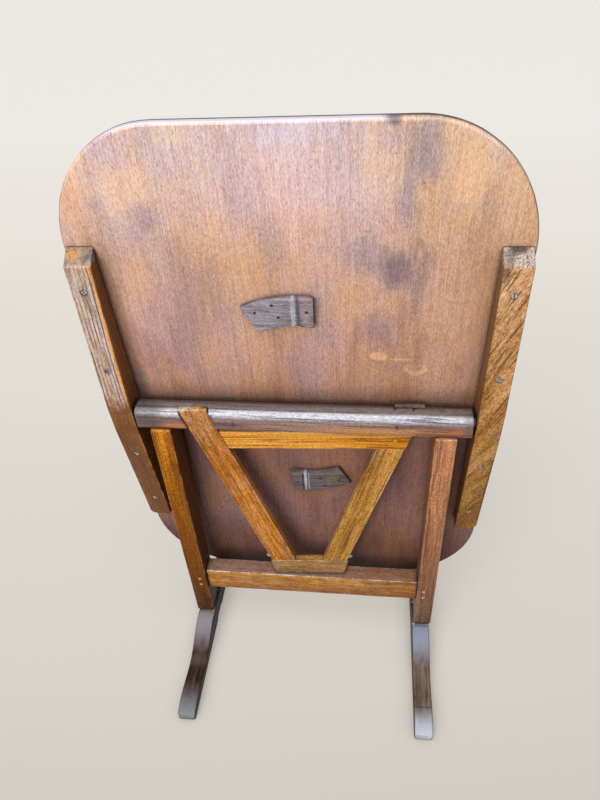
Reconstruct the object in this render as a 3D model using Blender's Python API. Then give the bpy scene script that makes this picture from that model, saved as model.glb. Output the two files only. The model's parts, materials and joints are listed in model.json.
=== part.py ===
"""Wine tasting table with a tilting top and a swinging gate, folded. Metres, +Z up, origin on the floor."""

import math

import bmesh
import bpy
from mathutils import Vector

# Fits between pieces
FIT = 0.0003
RUNNING_FIT = 0.0004
CUT_MARGIN = 0.010

# Frame
FRAME_HEIGHT = 0.700
CROSSBAR_DEPTH = 0.044
CROSSBAR_HEIGHT = 0.043
CROSSBAR_TOP_ROUND = 0.014
CROSSBAR_FOOT_ROUND = 0.003
CROSSBAR_END_GAP = 0.005
UPRIGHT_WIDTH = 0.040
UPRIGHT_DEPTH = 0.056
UPRIGHT_INSET = 0.026
UPRIGHT_EDGE = 0.0025
UPRIGHT_TENON_SHOULDER = 0.009
UPRIGHT_TENON_LENGTH = 0.030
STRETCHER_DEPTH = 0.037
STRETCHER_HEIGHT = 0.064
STRETCHER_TOP = 0.203
STRETCHER_EDGE = 0.002
STRETCHER_TENON_THICKNESS = 0.014
STRETCHER_TENON_SHOULDER = 0.011
STRETCHER_TENON_LENGTH = 0.030
STRETCHER_PEG_DIAMETER = 0.008
STRETCHER_PEG_SPACING = 0.022
PEG_PROUD = 0.0006

# Feet
FOOT_LENGTH = 0.550
FOOT_HEIGHT = 0.052
FOOT_SHOULDER = 0.084
FOOT_INSET = 0.004
FOOT_WAIST_HEIGHT = 0.0195
FOOT_WAIST_SHARE = 0.60
TOE_LENGTH = 0.050
TOE_HEIGHT = 0.026
TOE_NOSE_HEIGHT = 0.019
TOE_FLOOR_CHAMFER = 0.0035
TOE_CORNER_ROUND = 0.007
FOOT_ARCH_LENGTH = 0.050
FOOT_ARCH_HEIGHT = 0.006
FOOT_EDGE = 0.0015
FOOT_TENON_FLOOR = 0.016

# Tilting top
TOP_WIDTH = 0.738
TOP_THICKNESS = 0.020
TOP_EDGE_ROUND = 0.005
TOP_CORNER_WIDTH = 0.185
TOP_CORNER_LENGTH = 0.200
TOP_LOWER_CORNER_LENGTH = 0.195
TOP_FLOOR_CLEARANCE = 0.113
TOP_SHIFT = 0.044
TOP_REST_LEAN = math.radians(4.0)
AXIS_DEPTH = 0.0223
UNDERSIDE_OFFSET = 0.0355
TILT_PIN_DIAMETER = 0.016
BATTEN_WIDTH = 0.046
BATTEN_EDGE_INSET = 0.005
BATTEN_END_INSET = 0.188
BATTEN_MIDDLE_THICKNESS = 0.052
BATTEN_MIDDLE_LENGTH = 0.060
BATTEN_END_THICKNESS = 0.030
BATTEN_END_SLOPE = 0.021
BATTEN_FOOT_SETBACK = 0.004
BATTEN_FOOT_ROUND = 0.014
BATTEN_EDGE = 0.002
SCREW_END_INSET = 0.067
SCREW_INNER_SHARE = 0.41
SCREW_HEAD_DIAMETER = 0.0095
SCREW_HEAD_HEIGHT = 0.0035
SCREW_SHANK_DIAMETER = 0.005
SCREW_BITE = 0.014
SCREW_SLOT_WIDTH = 0.0013
SCREW_SLOT_DEPTH = 0.0013
SCREW_RECESS = 0.0006

# Gate
GATE_THICKNESS = 0.018
GATE_REST_TURN = math.radians(2.74)
GATE_SIDE_GAP = 0.019
GATE_FOOT_SPREAD = 0.117
GATE_EDGE = 0.0015
DIAGONAL_WIDTH = 0.0535
DIAGONAL_TOP_RISE = 0.0025
DIAGONAL_TENON_SHOULDER = 0.0125
DIAGONAL_TENON_LENGTH = 0.022
GATE_TENON_THICKNESS = 0.008
HORN_THICKNESS = 0.010
HORN_SIDE_GAP = 0.0015
HORN_BACK_GAP = 0.0008
TOP_RAIL_HEIGHT = 0.044
TOP_RAIL_GAP = 0.009
RAIL_PEG_DIAMETER = 0.0076
RAIL_PEG_BED = 0.006
BOTTOM_RAIL_HEIGHT = 0.0466
BOTTOM_RAIL_OVERHANG = 0.0028
BOTTOM_RAIL_TAPER = 0.0095
PIVOT_DIAMETER = 0.010
PIVOT_BED = 0.024
BOLT_HEIGHT = 0.012
BOLT_HEAD_DIAMETER = 0.012
BOLT_HEAD_HEIGHT = 0.009
BOLT_SHANK_DIAMETER = 0.006
BOLT_SHANK_LENGTH = 0.030

# Catches under the top
CATCH_LAP = 0.036
CATCH_BAND = 0.0545
CATCH_ARC_RADIUS = 0.200
CATCH_RAMP_ANGLE = math.radians(27.5)
CATCH_RAMP_END_THICKNESS = 0.006
CATCH_SEAT_GAP = 0.0006
CATCH_NOTCH_DEPTH = 0.0027
CATCH_NOTCH_SIDE_GAP = 0.0005
CATCH_NOTCH_LEAD = 0.003
CATCH_STOP_LENGTH = 0.0215
NAIL_HEAD_DIAMETER = 0.0052
NAIL_HEAD_HEIGHT = 0.0012
NAIL_SHANK_DIAMETER = 0.003
NAIL_BITE = 0.008
NAIL_RECESS = 0.0008
# Each nail's place on the ramp: share of the ramp's angle, share of the band's width
RAMP_NAILS = ((0.80, 0.66), (0.42, 0.80), (0.36, 0.34))
STOP_NAIL_SHARE = 0.52

# Facets of round pieces
PIN_SIDES = 24
SMALL_SIDES = 12
CORNER_STEPS = 12
SWEEP_STEPS = 8
ROUND_STEPS = 5

# Frame sizes that follow from the driving dimensions
AXIS_HEIGHT = FRAME_HEIGHT - AXIS_DEPTH
CROSSBAR_BOTTOM = FRAME_HEIGHT - CROSSBAR_HEIGHT
BATTEN_OUTER = TOP_WIDTH / 2 - BATTEN_EDGE_INSET
BATTEN_INNER = BATTEN_OUTER - BATTEN_WIDTH
CROSSBAR_END = BATTEN_INNER - CROSSBAR_END_GAP
UPRIGHT_OUTER = CROSSBAR_END - UPRIGHT_INSET
UPRIGHT_INNER = UPRIGHT_OUTER - UPRIGHT_WIDTH
UPRIGHT_MIDDLE = UPRIGHT_OUTER - UPRIGHT_WIDTH / 2
FOOT_INNER = UPRIGHT_INNER - FOOT_INSET
FOOT_OUTER = UPRIGHT_OUTER - FOOT_INSET
STRETCHER_MIDDLE = STRETCHER_TOP - STRETCHER_HEIGHT / 2
TENON_WIDTH = UPRIGHT_WIDTH - 2 * UPRIGHT_TENON_SHOULDER
FOOT_TENON_DEPTH = UPRIGHT_DEPTH - 2 * UPRIGHT_TENON_SHOULDER
CROSSBAR_TENON_DEPTH = CROSSBAR_DEPTH - 2 * UPRIGHT_TENON_SHOULDER

# Top sizes that follow, measured from the tilt axis along the panel
TOP_DROP = (
    AXIS_HEIGHT + UNDERSIDE_OFFSET * math.sin(TOP_REST_LEAN) - TOP_FLOOR_CLEARANCE
) / math.cos(TOP_REST_LEAN)
TOP_RISE = TOP_DROP - TOP_SHIFT
BATTEN_REACH = TOP_RISE - BATTEN_END_INSET
SCREW_REACH = BATTEN_REACH - SCREW_END_INSET

# Gate sizes that follow
GATE_TOP = FRAME_HEIGHT + DIAGONAL_TOP_RISE
BOTTOM_RAIL_LOW = STRETCHER_TOP + RUNNING_FIT
BOTTOM_RAIL_HIGH = BOTTOM_RAIL_LOW + BOTTOM_RAIL_HEIGHT
TOP_RAIL_HIGH = CROSSBAR_BOTTOM - TOP_RAIL_GAP
TOP_RAIL_LOW = TOP_RAIL_HIGH - TOP_RAIL_HEIGHT
TOP_RAIL_MIDDLE = TOP_RAIL_HIGH - TOP_RAIL_HEIGHT / 2
GATE_REACH = UPRIGHT_INNER - GATE_SIDE_GAP
DIAGONAL_SLOPE = (GATE_REACH - DIAGONAL_WIDTH / 2 - GATE_FOOT_SPREAD / 2) / (GATE_TOP - BOTTOM_RAIL_HIGH)
HORN_BACK = GATE_THICKNESS / 2 - HORN_THICKNESS

# Catch sizes that follow: thickness off the underside, and places across it
CATCH_INNER = GATE_REACH - CATCH_LAP
CATCH_OUTER = CATCH_INNER + CATCH_BAND
CATCH_CENTRE = CATCH_OUTER - CATCH_ARC_RADIUS
CATCH_RAMP_END = -CATCH_ARC_RADIUS * math.sin(CATCH_RAMP_ANGLE)
CATCH_FLOOR = AXIS_HEIGHT + UNDERSIDE_OFFSET - GATE_TOP - CATCH_SEAT_GAP
CATCH_RIDGE = CATCH_FLOOR + CATCH_NOTCH_DEPTH
NOTCH_LEFT = HORN_BACK - CATCH_NOTCH_SIDE_GAP
NOTCH_RIGHT = GATE_THICKNESS / 2 + CATCH_NOTCH_SIDE_GAP
STOP_RIGHT = NOTCH_RIGHT + CATCH_STOP_LENGTH
CATCH_FOOT = UNDERSIDE_OFFSET - FIT

HALF_TURN = math.pi

# Finish of each material: colour, roughness and metallic value
FINISHES = {
    "varnished_top": ((0.30, 0.13, 0.07), 0.35, 0.0),
    "batten_oak": ((0.38, 0.22, 0.09), 0.50, 0.0),
    "gate_oak": ((0.46, 0.25, 0.08), 0.50, 0.0),
    "frame_oak": ((0.34, 0.17, 0.06), 0.45, 0.0),
    "crossbar_oak": ((0.13, 0.09, 0.07), 0.40, 0.0),
    "dark_foot": ((0.09, 0.06, 0.05), 0.30, 0.0),
    "weathered_catch": ((0.16, 0.11, 0.08), 0.60, 0.0),
    "peg_wood": ((0.50, 0.32, 0.15), 0.60, 0.0),
    "screw_steel": ((0.45, 0.44, 0.42), 0.40, 1.0),
    "nail_iron": ((0.12, 0.10, 0.11), 0.55, 1.0),
}


def clear_scene():
    """Remove whatever the opened file holds."""
    for item in list(bpy.data.objects):
        bpy.data.objects.remove(item, do_unlink=True)


def finish(name):
    """One plain material for each kind of surface."""
    found = bpy.data.materials.get(name)
    if found:
        return found
    colour, roughness, metallic = FINISHES[name]
    material = bpy.data.materials.new(name)
    material.use_nodes = True
    shader = material.node_tree.nodes["Principled BSDF"]
    shader.inputs["Base Color"].default_value = (*colour, 1.0)
    shader.inputs["Roughness"].default_value = roughness
    shader.inputs["Metallic"].default_value = metallic
    return material


def add_object(name, points, faces, parent, material=None, smooth=False):
    """A mesh object from points and faces, with its faces turned outwards."""
    mesh = bpy.data.meshes.new(name)
    work = bmesh.new()
    corners = [work.verts.new(point) for point in points]
    for face in faces:
        work.faces.new([corners[index] for index in face])
    bmesh.ops.recalc_face_normals(work, faces=work.faces)
    work.to_mesh(mesh)
    work.free()
    if smooth:
        mesh.shade_smooth()
        mesh.set_sharp_from_angle(angle=math.radians(35))
    if material:
        mesh.materials.append(finish(material))
    item = bpy.data.objects.new(name, mesh)
    item.parent = parent
    bpy.context.scene.collection.objects.link(item)
    return item


def prism(name, outline, plane, low, high, parent, material=None):
    """An outline of two-value points, extruded along the axis that its plane leaves out."""
    place = {
        "xy": lambda p, depth: (p[0], p[1], depth),
        "xz": lambda p, depth: (p[0], depth, p[1]),
        "yz": lambda p, depth: (depth, p[0], p[1]),
    }[plane]
    count = len(outline)
    points = [place(point, low) for point in outline] + [place(point, high) for point in outline]
    sides = [(i, (i + 1) % count, count + (i + 1) % count, count + i) for i in range(count)]
    caps = [tuple(range(count)), tuple(range(2 * count - 1, count - 1, -1))]
    return add_object(name, points, sides + caps, parent, material)


def block(name, low, high, parent, material=None):
    """A box between two corners."""
    outline = [(low[0], low[1]), (high[0], low[1]), (high[0], high[1]), (low[0], high[1])]
    return prism(name, outline, "xy", low[2], high[2], parent, material)


def turned(name, profile, sides, parent, material=None):
    """A profile of (radius, height) points turned about local Z. Its first and last radius is 0."""
    points = [(0.0, 0.0, profile[0][1])]
    faces = []
    rings = profile[1:-1]
    for radius, height in rings:
        for step in range(sides):
            angle = 2 * math.pi * step / sides
            points.append((radius * math.cos(angle), radius * math.sin(angle), height))
    points.append((0.0, 0.0, profile[-1][1]))
    last = len(points) - 1
    for step in range(sides):
        after = (step + 1) % sides
        faces.append((0, 1 + step, 1 + after))
        for ring in range(len(rings) - 1):
            here = 1 + ring * sides
            there = here + sides
            faces.append((here + step, there + step, there + after, here + after))
        base = 1 + (len(rings) - 1) * sides
        faces.append((base + step, last, base + after))
    return add_object(name, points, faces, parent, material, smooth=True)


def rod(name, radius, low, high, sides, parent, material=None, chamfer=0.0):
    """A round bar along local Z, with chamfered ends where asked."""
    profile = [(0.0, low), (radius - chamfer, low)]
    if chamfer:
        profile += [(radius, low + chamfer), (radius, high - chamfer)]
    profile += [(radius - chamfer, high), (0.0, high)]
    return turned(name, profile, sides, parent, material)


def aim(item, place, direction):
    """Put an object's origin at a place and turn its Z axis along a direction."""
    item.location = place
    item.rotation_euler = Vector(direction).to_track_quat("Z", "Y").to_euler()
    return item


def round_edges(item, width, steps=2):
    """Round the sharp edges that the piece has so far."""
    bevel = item.modifiers.new("rounded_edges", "BEVEL")
    bevel.width = width
    bevel.segments = steps
    bevel.limit_method = "ANGLE"
    bevel.angle_limit = math.radians(50)
    bevel.use_clamp_overlap = False


def combine(item, tool, operation):
    """Join, cut or keep the common part with another shape, which is then only a guide."""
    tool.hide_render = True
    tool.display_type = "WIRE"
    change = item.modifiers.new(tool.name, "BOOLEAN")
    change.operation = operation
    change.solver = "EXACT"
    change.object = tool


def join(item, tool):
    combine(item, tool, "UNION")


def cut(item, tool):
    combine(item, tool, "DIFFERENCE")


def arc(centre, radii, start, end, steps):
    """Points on an arc of an ellipse, from one angle to another, ends included."""
    found = []
    for step in range(steps + 1):
        angle = start + (end - start) * step / steps
        found.append((centre[0] + radii[0] * math.cos(angle), centre[1] + radii[1] * math.sin(angle)))
    return found


def empty(name, location, rotation):
    """A frame that pieces are parented to."""
    item = bpy.data.objects.new(name, None)
    item.location = location
    item.rotation_euler = rotation
    bpy.context.scene.collection.objects.link(item)
    return item


def side_frame(name, parent, axis, half_turn):
    """A frame for a piece that comes twice: as drawn, or turned half a turn about one axis."""
    turn = HALF_TURN if half_turn else 0.0
    rotation = [turn if letter == axis else 0.0 for letter in "xyz"]
    item = empty(name, (0, 0, 0), rotation)
    item.parent = parent
    return item


def sweep(start, end):
    """Points of a smooth S-curve from one point to another, level at both, the start left out."""
    found = []
    for step in range(1, SWEEP_STEPS + 1):
        share = step / SWEEP_STEPS
        rise = (1 - math.cos(math.pi * share)) / 2
        found.append((start[0] + (end[0] - start[0]) * share, start[1] + (end[1] - start[1]) * rise))
    return found


def foot_outline():
    """Side view of a foot in (y, z): flat shoulder, sweep down to a waist, toe with a long round nose."""
    half = FOOT_LENGTH / 2
    shoulder = (FOOT_SHOULDER / 2, FOOT_HEIGHT)
    toe = (half - TOE_LENGTH, TOE_HEIGHT)
    waist = (shoulder[0] + (toe[0] - shoulder[0]) * FOOT_WAIST_SHARE, FOOT_WAIST_HEIGHT)
    arch = FOOT_ARCH_LENGTH / 2
    nose = (toe[0], TOE_HEIGHT - TOE_NOSE_HEIGHT)
    right = [(arch - FOOT_ARCH_HEIGHT, FOOT_ARCH_HEIGHT), (arch, 0.0)]
    right += [(half - TOE_FLOOR_CHAMFER, 0.0), (half, TOE_FLOOR_CHAMFER)]
    right += arc(nose, (TOE_LENGTH, TOE_NOSE_HEIGHT), 0.0, math.pi / 2, SWEEP_STEPS)
    right += sweep(toe, waist) + sweep(waist, shoulder)
    left = [(-y, z) for y, z in reversed(right)]
    return right + left


def foot_plan():
    """Plan of a foot in (x, y), with rounded toe corners."""
    across = (FOOT_OUTER - FOOT_INNER) / 2 - TOE_CORNER_ROUND
    middle = (FOOT_OUTER + FOOT_INNER) / 2
    along = FOOT_LENGTH / 2 - TOE_CORNER_ROUND
    outline = []
    for index, (x, y) in enumerate(((1, 1), (-1, 1), (-1, -1), (1, -1))):
        centre = (middle + x * across, y * along)
        start = index * math.pi / 2
        outline += arc(centre, (TOE_CORNER_ROUND, TOE_CORNER_ROUND), start, start + math.pi / 2, ROUND_STEPS)
    return outline


def make_foot(name, frame, upright_tenon_cutter):
    foot = prism(name, foot_outline(), "yz", FOOT_INNER, FOOT_OUTER, frame, "dark_foot")
    round_edges(foot, FOOT_EDGE)
    plan = prism(name + "_plan", foot_plan(), "xy", -CUT_MARGIN, FOOT_HEIGHT + CUT_MARGIN, frame)
    combine(foot, plan, "INTERSECT")
    cut(foot, upright_tenon_cutter)
    return foot


def foot_tenon(name, frame, slack, into):
    """The upright's lower tenon, or its mortise with some slack around it."""
    return block(
        name,
        (UPRIGHT_MIDDLE - TENON_WIDTH / 2 - slack, -FOOT_TENON_DEPTH / 2 - slack, FOOT_TENON_FLOOR - slack),
        (UPRIGHT_MIDDLE + TENON_WIDTH / 2 + slack, FOOT_TENON_DEPTH / 2 + slack, FOOT_HEIGHT + into),
        frame,
    )


def crossbar_tenon(name, frame, slack, into):
    """The upright's upper tenon, or its mortise with some slack around it."""
    top = CROSSBAR_BOTTOM + UPRIGHT_TENON_LENGTH + slack
    return block(
        name,
        (UPRIGHT_MIDDLE - TENON_WIDTH / 2 - slack, -CROSSBAR_TENON_DEPTH / 2 - slack, CROSSBAR_BOTTOM - into),
        (UPRIGHT_MIDDLE + TENON_WIDTH / 2 + slack, CROSSBAR_TENON_DEPTH / 2 + slack, top),
        frame,
    )


def stretcher_tenon(name, frame, slack, into):
    """The stretcher's tenon on the right, or its mortise with some slack around it."""
    half_height = STRETCHER_HEIGHT / 2 - STRETCHER_TENON_SHOULDER
    half_depth = STRETCHER_TENON_THICKNESS / 2 + slack
    low = (UPRIGHT_INNER - into, -half_depth, STRETCHER_MIDDLE - half_height - slack)
    high = (
        UPRIGHT_INNER + STRETCHER_TENON_LENGTH + slack, half_depth, STRETCHER_MIDDLE + half_height + slack
    )
    return block(name, low, high, frame)


def make_upright(name, frame, mortise):
    upright = block(
        name,
        (UPRIGHT_INNER, -UPRIGHT_DEPTH / 2, FOOT_HEIGHT + FIT),
        (UPRIGHT_OUTER, UPRIGHT_DEPTH / 2, CROSSBAR_BOTTOM - FIT),
        frame,
        "frame_oak",
    )
    round_edges(upright, UPRIGHT_EDGE)
    join(upright, foot_tenon(name + "_lower_tenon", frame, 0.0, CUT_MARGIN))
    join(upright, crossbar_tenon(name + "_upper_tenon", frame, 0.0, CUT_MARGIN))
    cut(upright, mortise)
    return upright


def crossbar_outline():
    """End view of the crossbar in (y, z), with widely rounded top edges."""
    half = CROSSBAR_DEPTH / 2
    big = CROSSBAR_TOP_ROUND
    small = CROSSBAR_FOOT_ROUND
    corners = (
        ((half - small, CROSSBAR_BOTTOM + small), small, -math.pi / 2, 2),
        ((half - big, FRAME_HEIGHT - big), big, 0.0, ROUND_STEPS),
        ((big - half, FRAME_HEIGHT - big), big, math.pi / 2, ROUND_STEPS),
        ((small - half, CROSSBAR_BOTTOM + small), small, math.pi, 2),
    )
    outline = []
    for centre, radius, start, steps in corners:
        outline += arc(centre, (radius, radius), start, start + math.pi / 2, steps)
    return outline


def diagonal_middle(height):
    """Distance of a diagonal's middle line from the gate's axis at a height."""
    return GATE_FOOT_SPREAD / 2 + (height - BOTTOM_RAIL_HIGH) * DIAGONAL_SLOPE


def diagonal_outline(low, high, slack):
    """Front view of a stretch of the right diagonal in (x, z), with slack at both sides."""
    half = DIAGONAL_WIDTH / 2 + slack
    return [
        (diagonal_middle(low) - half, low),
        (diagonal_middle(low) + half, low),
        (diagonal_middle(high) + half, high),
        (diagonal_middle(high) - half, high),
    ]


def crossbar_notch(name, frame):
    """The slanted notch that takes the gate's thinned end, cut from the crossbar's back."""
    outline = diagonal_outline(CROSSBAR_BOTTOM - CUT_MARGIN, FRAME_HEIGHT + CUT_MARGIN, HORN_SIDE_GAP)
    return prism(name, outline, "xz", HORN_BACK - HORN_BACK_GAP, CROSSBAR_DEPTH + CUT_MARGIN, frame)


def make_crossbar(base, gate):
    crossbar = prism(
        "crossbar", crossbar_outline(), "yz", -CROSSBAR_END, CROSSBAR_END, base, "crossbar_oak"
    )
    round_edges(crossbar, CROSSBAR_FOOT_ROUND)
    for side, half_turn in (("right", False), ("left", True)):
        frame = side_frame(f"{side}_crossbar_side", base, "z", half_turn)
        cut(crossbar, crossbar_tenon(f"{side}_crossbar_mortise", frame, FIT, CUT_MARGIN))
        gate_frame = side_frame(f"{side}_notch_side", gate, "z", half_turn)
        cut(crossbar, crossbar_notch(f"{side}_crossbar_notch", gate_frame))
        sign = -1 if half_turn else 1
        bore = rod(
            f"{side}_pin_bore", TILT_PIN_DIAMETER / 2 + FIT, -UPRIGHT_INSET - FIT, CUT_MARGIN, PIN_SIDES, base
        )
        cut(crossbar, aim(bore, (sign * CROSSBAR_END, 0, AXIS_HEIGHT), (sign, 0, 0)))
    pivot_bore = rod(
        "upper_pivot_bore", PIVOT_DIAMETER / 2 + FIT, -CUT_MARGIN, PIVOT_BED + FIT, PIN_SIDES, base
    )
    cut(crossbar, aim(pivot_bore, (0, 0, CROSSBAR_BOTTOM), (0, 0, 1)))


def make_tilt_pin(name, base, sign):
    length = BATTEN_OUTER - CROSSBAR_END
    pin = rod(
        name, TILT_PIN_DIAMETER / 2, -UPRIGHT_INSET, length, PIN_SIDES, base, "peg_wood", BATTEN_EDGE / 2
    )
    aim(pin, (sign * CROSSBAR_END, 0, AXIS_HEIGHT), (sign, 0, 0))


def stretcher_peg(name, frame, place, slack, material=None):
    """A peg from the upright's front through the stretcher's tenon, or its bore with some slack."""
    proud = CUT_MARGIN if slack else PEG_PROUD
    depth = UPRIGHT_DEPTH / 2 + STRETCHER_TENON_THICKNESS
    chamfer = 0.0 if slack else PEG_PROUD
    peg = rod(
        name, STRETCHER_PEG_DIAMETER / 2 + slack, -proud, depth + slack, SMALL_SIDES, frame, material, chamfer
    )
    return aim(peg, (place[0], -UPRIGHT_DEPTH / 2, place[1]), (0, 1, 0))


def make_base(base, gate):
    """Feet, uprights, stretcher and crossbar, with the pegs and pins that hold them."""
    stretcher = block(
        "stretcher",
        (-UPRIGHT_INNER + FIT, -STRETCHER_DEPTH / 2, STRETCHER_TOP - STRETCHER_HEIGHT),
        (UPRIGHT_INNER - FIT, STRETCHER_DEPTH / 2, STRETCHER_TOP),
        base,
        "gate_oak",
    )
    round_edges(stretcher, STRETCHER_EDGE)
    for side, half_turn in (("right", False), ("left", True)):
        frame = side_frame(f"{side}_side", base, "z", half_turn)
        sign = -1 if half_turn else 1
        make_foot(f"{side}_foot", frame, foot_tenon(f"{side}_foot_mortise", frame, FIT, CUT_MARGIN))
        mortise = stretcher_tenon(f"{side}_stretcher_mortise", frame, FIT, CUT_MARGIN)
        upright = make_upright(f"{side}_upright", frame, mortise)
        join(stretcher, stretcher_tenon(f"{side}_stretcher_tenon", frame, 0.0, CUT_MARGIN))
        peg_x = sign * (UPRIGHT_INNER + STRETCHER_TENON_LENGTH / 2)
        for level, shift in (("upper", 0.5), ("lower", -0.5)):
            place = (peg_x, STRETCHER_MIDDLE + shift * STRETCHER_PEG_SPACING)
            name = f"{side}_stretcher_{level}_peg"
            bore = stretcher_peg(name + "_bore", base, place, FIT)
            cut(upright, bore)
            cut(stretcher, bore)
            stretcher_peg(name, base, place, 0.0, "peg_wood")
        make_tilt_pin(f"{side}_tilt_pin", base, sign)
    pivot_bore = rod(
        "lower_pivot_bore", PIVOT_DIAMETER / 2 + FIT, -PIVOT_BED - FIT, CUT_MARGIN, PIN_SIDES, base
    )
    cut(stretcher, aim(pivot_bore, (0, 0, STRETCHER_TOP), (0, 0, 1)))
    make_crossbar(base, gate)


def diagonal_tenon(name, frame, slack, into):
    """The right diagonal's foot tenon, or its mortise in the bottom rail with some slack."""
    half = DIAGONAL_WIDTH / 2 - DIAGONAL_TENON_SHOULDER + slack
    middle = GATE_FOOT_SPREAD / 2
    half_depth = GATE_TENON_THICKNESS / 2 + slack
    low = (middle - half, -half_depth, BOTTOM_RAIL_HIGH - DIAGONAL_TENON_LENGTH - slack)
    high = (middle + half, half_depth, BOTTOM_RAIL_HIGH + into)
    return block(name, low, high, frame)


def rail_lap(name, frame, slack, front):
    """The top rail's half-thick right end in front of the diagonal, or the diagonal's cut for it."""
    half = DIAGONAL_WIDTH / 2
    past = CUT_MARGIN if slack else 0.0
    low = TOP_RAIL_LOW - slack
    high = TOP_RAIL_HIGH + slack
    outline = [
        (diagonal_middle(low) - half - CUT_MARGIN, low),
        (diagonal_middle(low) + half + past, low),
        (diagonal_middle(high) + half + past, high),
        (diagonal_middle(high) - half - CUT_MARGIN, high),
    ]
    back = FIT / 2 if slack else -FIT / 2
    return prism(name, outline, "xz", front, back, frame)


def rail_peg(name, frame, slack, material=None):
    """The peg through the top rail's lap into the right diagonal, or its bore with some slack."""
    front = GATE_THICKNESS / 2 + (CUT_MARGIN if slack else PEG_PROUD)
    chamfer = 0.0 if slack else PEG_PROUD
    radius = RAIL_PEG_DIAMETER / 2 + slack
    peg = rod(name, radius, -front, RAIL_PEG_BED + slack, SMALL_SIDES, frame, material, chamfer)
    return aim(peg, (diagonal_middle(TOP_RAIL_MIDDLE), 0, TOP_RAIL_MIDDLE), (0, 1, 0))


def bolt(name, frame, slack, material=None):
    """The round-headed bolt square to the right diagonal's outer edge, or its bore with some slack."""
    height = BOTTOM_RAIL_HIGH + BOLT_HEIGHT
    edge = (diagonal_middle(height) + DIAGONAL_WIDTH / 2, 0, height)
    outward = Vector((1.0, 0.0, -DIAGONAL_SLOPE)).normalized()
    shank = BOLT_SHANK_DIAMETER / 2 + slack
    if slack:
        shape = rod(name, shank, -BOLT_SHANK_LENGTH - slack, CUT_MARGIN, SMALL_SIDES, frame)
    else:
        dome = arc((0.0, FIT), (BOLT_HEAD_DIAMETER / 2, BOLT_HEAD_HEIGHT), 0.0, math.pi / 2, ROUND_STEPS)
        profile = [(0.0, -BOLT_SHANK_LENGTH), (shank, -BOLT_SHANK_LENGTH), (shank, FIT)]
        profile += dome[:-1] + [(0.0, FIT + BOLT_HEAD_HEIGHT)]
        shape = turned(name, profile, SMALL_SIDES, frame, material)
    return aim(shape, edge, outward)


def make_diagonal(name, frame):
    """A slanted bar of the gate, standing on the bottom rail, with a thinned end for the crossbar's notch."""
    outline = diagonal_outline(BOTTOM_RAIL_HIGH + FIT, GATE_TOP, 0.0)
    diagonal = prism(name, outline, "xz", -GATE_THICKNESS / 2, GATE_THICKNESS / 2, frame, "gate_oak")
    round_edges(diagonal, GATE_EDGE)
    rebate = block(
        name + "_rebate",
        (0.0, -GATE_THICKNESS, TOP_RAIL_HIGH),
        (GATE_REACH + CUT_MARGIN, HORN_BACK, GATE_TOP + CUT_MARGIN),
        frame,
    )
    cut(diagonal, rebate)
    join(diagonal, diagonal_tenon(name + "_tenon", frame, 0.0, CUT_MARGIN))
    cut(diagonal, rail_lap(name + "_lap", frame, FIT, -GATE_THICKNESS))
    return diagonal


def make_gate(gate):
    """The V-shaped frame that turns about its own upright axis and props the level top."""
    thickness = (-GATE_THICKNESS / 2, GATE_THICKNESS / 2)
    low_edge = diagonal_middle(TOP_RAIL_LOW) - DIAGONAL_WIDTH / 2 - FIT
    high_edge = diagonal_middle(TOP_RAIL_HIGH) - DIAGONAL_WIDTH / 2 - FIT
    rail_outline = [(-low_edge, TOP_RAIL_LOW), (low_edge, TOP_RAIL_LOW)]
    rail_outline += [(high_edge, TOP_RAIL_HIGH), (-high_edge, TOP_RAIL_HIGH)]
    top_rail = prism("gate_top_rail", rail_outline, "xz", *thickness, gate, "gate_oak")
    round_edges(top_rail, GATE_EDGE)
    wide = GATE_FOOT_SPREAD / 2 + DIAGONAL_WIDTH / 2 + BOTTOM_RAIL_OVERHANG
    narrow = wide - BOTTOM_RAIL_TAPER
    foot_rail_outline = [(-narrow, BOTTOM_RAIL_LOW), (narrow, BOTTOM_RAIL_LOW)]
    foot_rail_outline += [(wide, BOTTOM_RAIL_HIGH), (-wide, BOTTOM_RAIL_HIGH)]
    bottom_rail = prism("gate_bottom_rail", foot_rail_outline, "xz", *thickness, gate, "gate_oak")
    round_edges(bottom_rail, GATE_EDGE)
    for side, half_turn in (("right", False), ("left", True)):
        frame = side_frame(f"gate_{side}_side", gate, "z", half_turn)
        diagonal = make_diagonal(f"gate_{side}_diagonal", frame)
        cut(bottom_rail, diagonal_tenon(f"gate_{side}_foot_mortise", frame, FIT, CUT_MARGIN))
        join(top_rail, rail_lap(f"gate_{side}_rail_lap", frame, 0.0, -GATE_THICKNESS / 2))
        peg_bore = rail_peg(f"gate_{side}_peg_bore", frame, FIT)
        cut(diagonal, peg_bore)
        cut(top_rail, peg_bore)
        rail_peg(f"gate_{side}_peg", frame, 0.0, "peg_wood")
        cut(diagonal, bolt(f"gate_{side}_bolt_bore", frame, FIT))
        bolt(f"gate_{side}_bolt", frame, 0.0, "screw_steel")
    make_pivot("gate_upper_pivot", gate, top_rail, TOP_RAIL_HIGH, CROSSBAR_BOTTOM, 1)
    make_pivot("gate_lower_pivot", gate, bottom_rail, BOTTOM_RAIL_LOW, STRETCHER_TOP, -1)


def make_pivot(name, gate, rail, rail_face, frame_face, sign):
    """A pin set in a rail's edge that runs on into the frame's bore, up (1) or down (-1)."""
    run = abs(frame_face - rail_face) + PIVOT_BED
    bore = rod(name + "_bore", PIVOT_DIAMETER / 2 + FIT, -PIVOT_BED - FIT, CUT_MARGIN, PIN_SIDES, gate)
    cut(rail, aim(bore, (0, 0, rail_face), (0, 0, sign)))
    pin = rod(name, PIVOT_DIAMETER / 2, -PIVOT_BED, run, PIN_SIDES, gate, "nail_iron", FIT)
    aim(pin, (0, 0, rail_face), (0, 0, sign))


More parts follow.
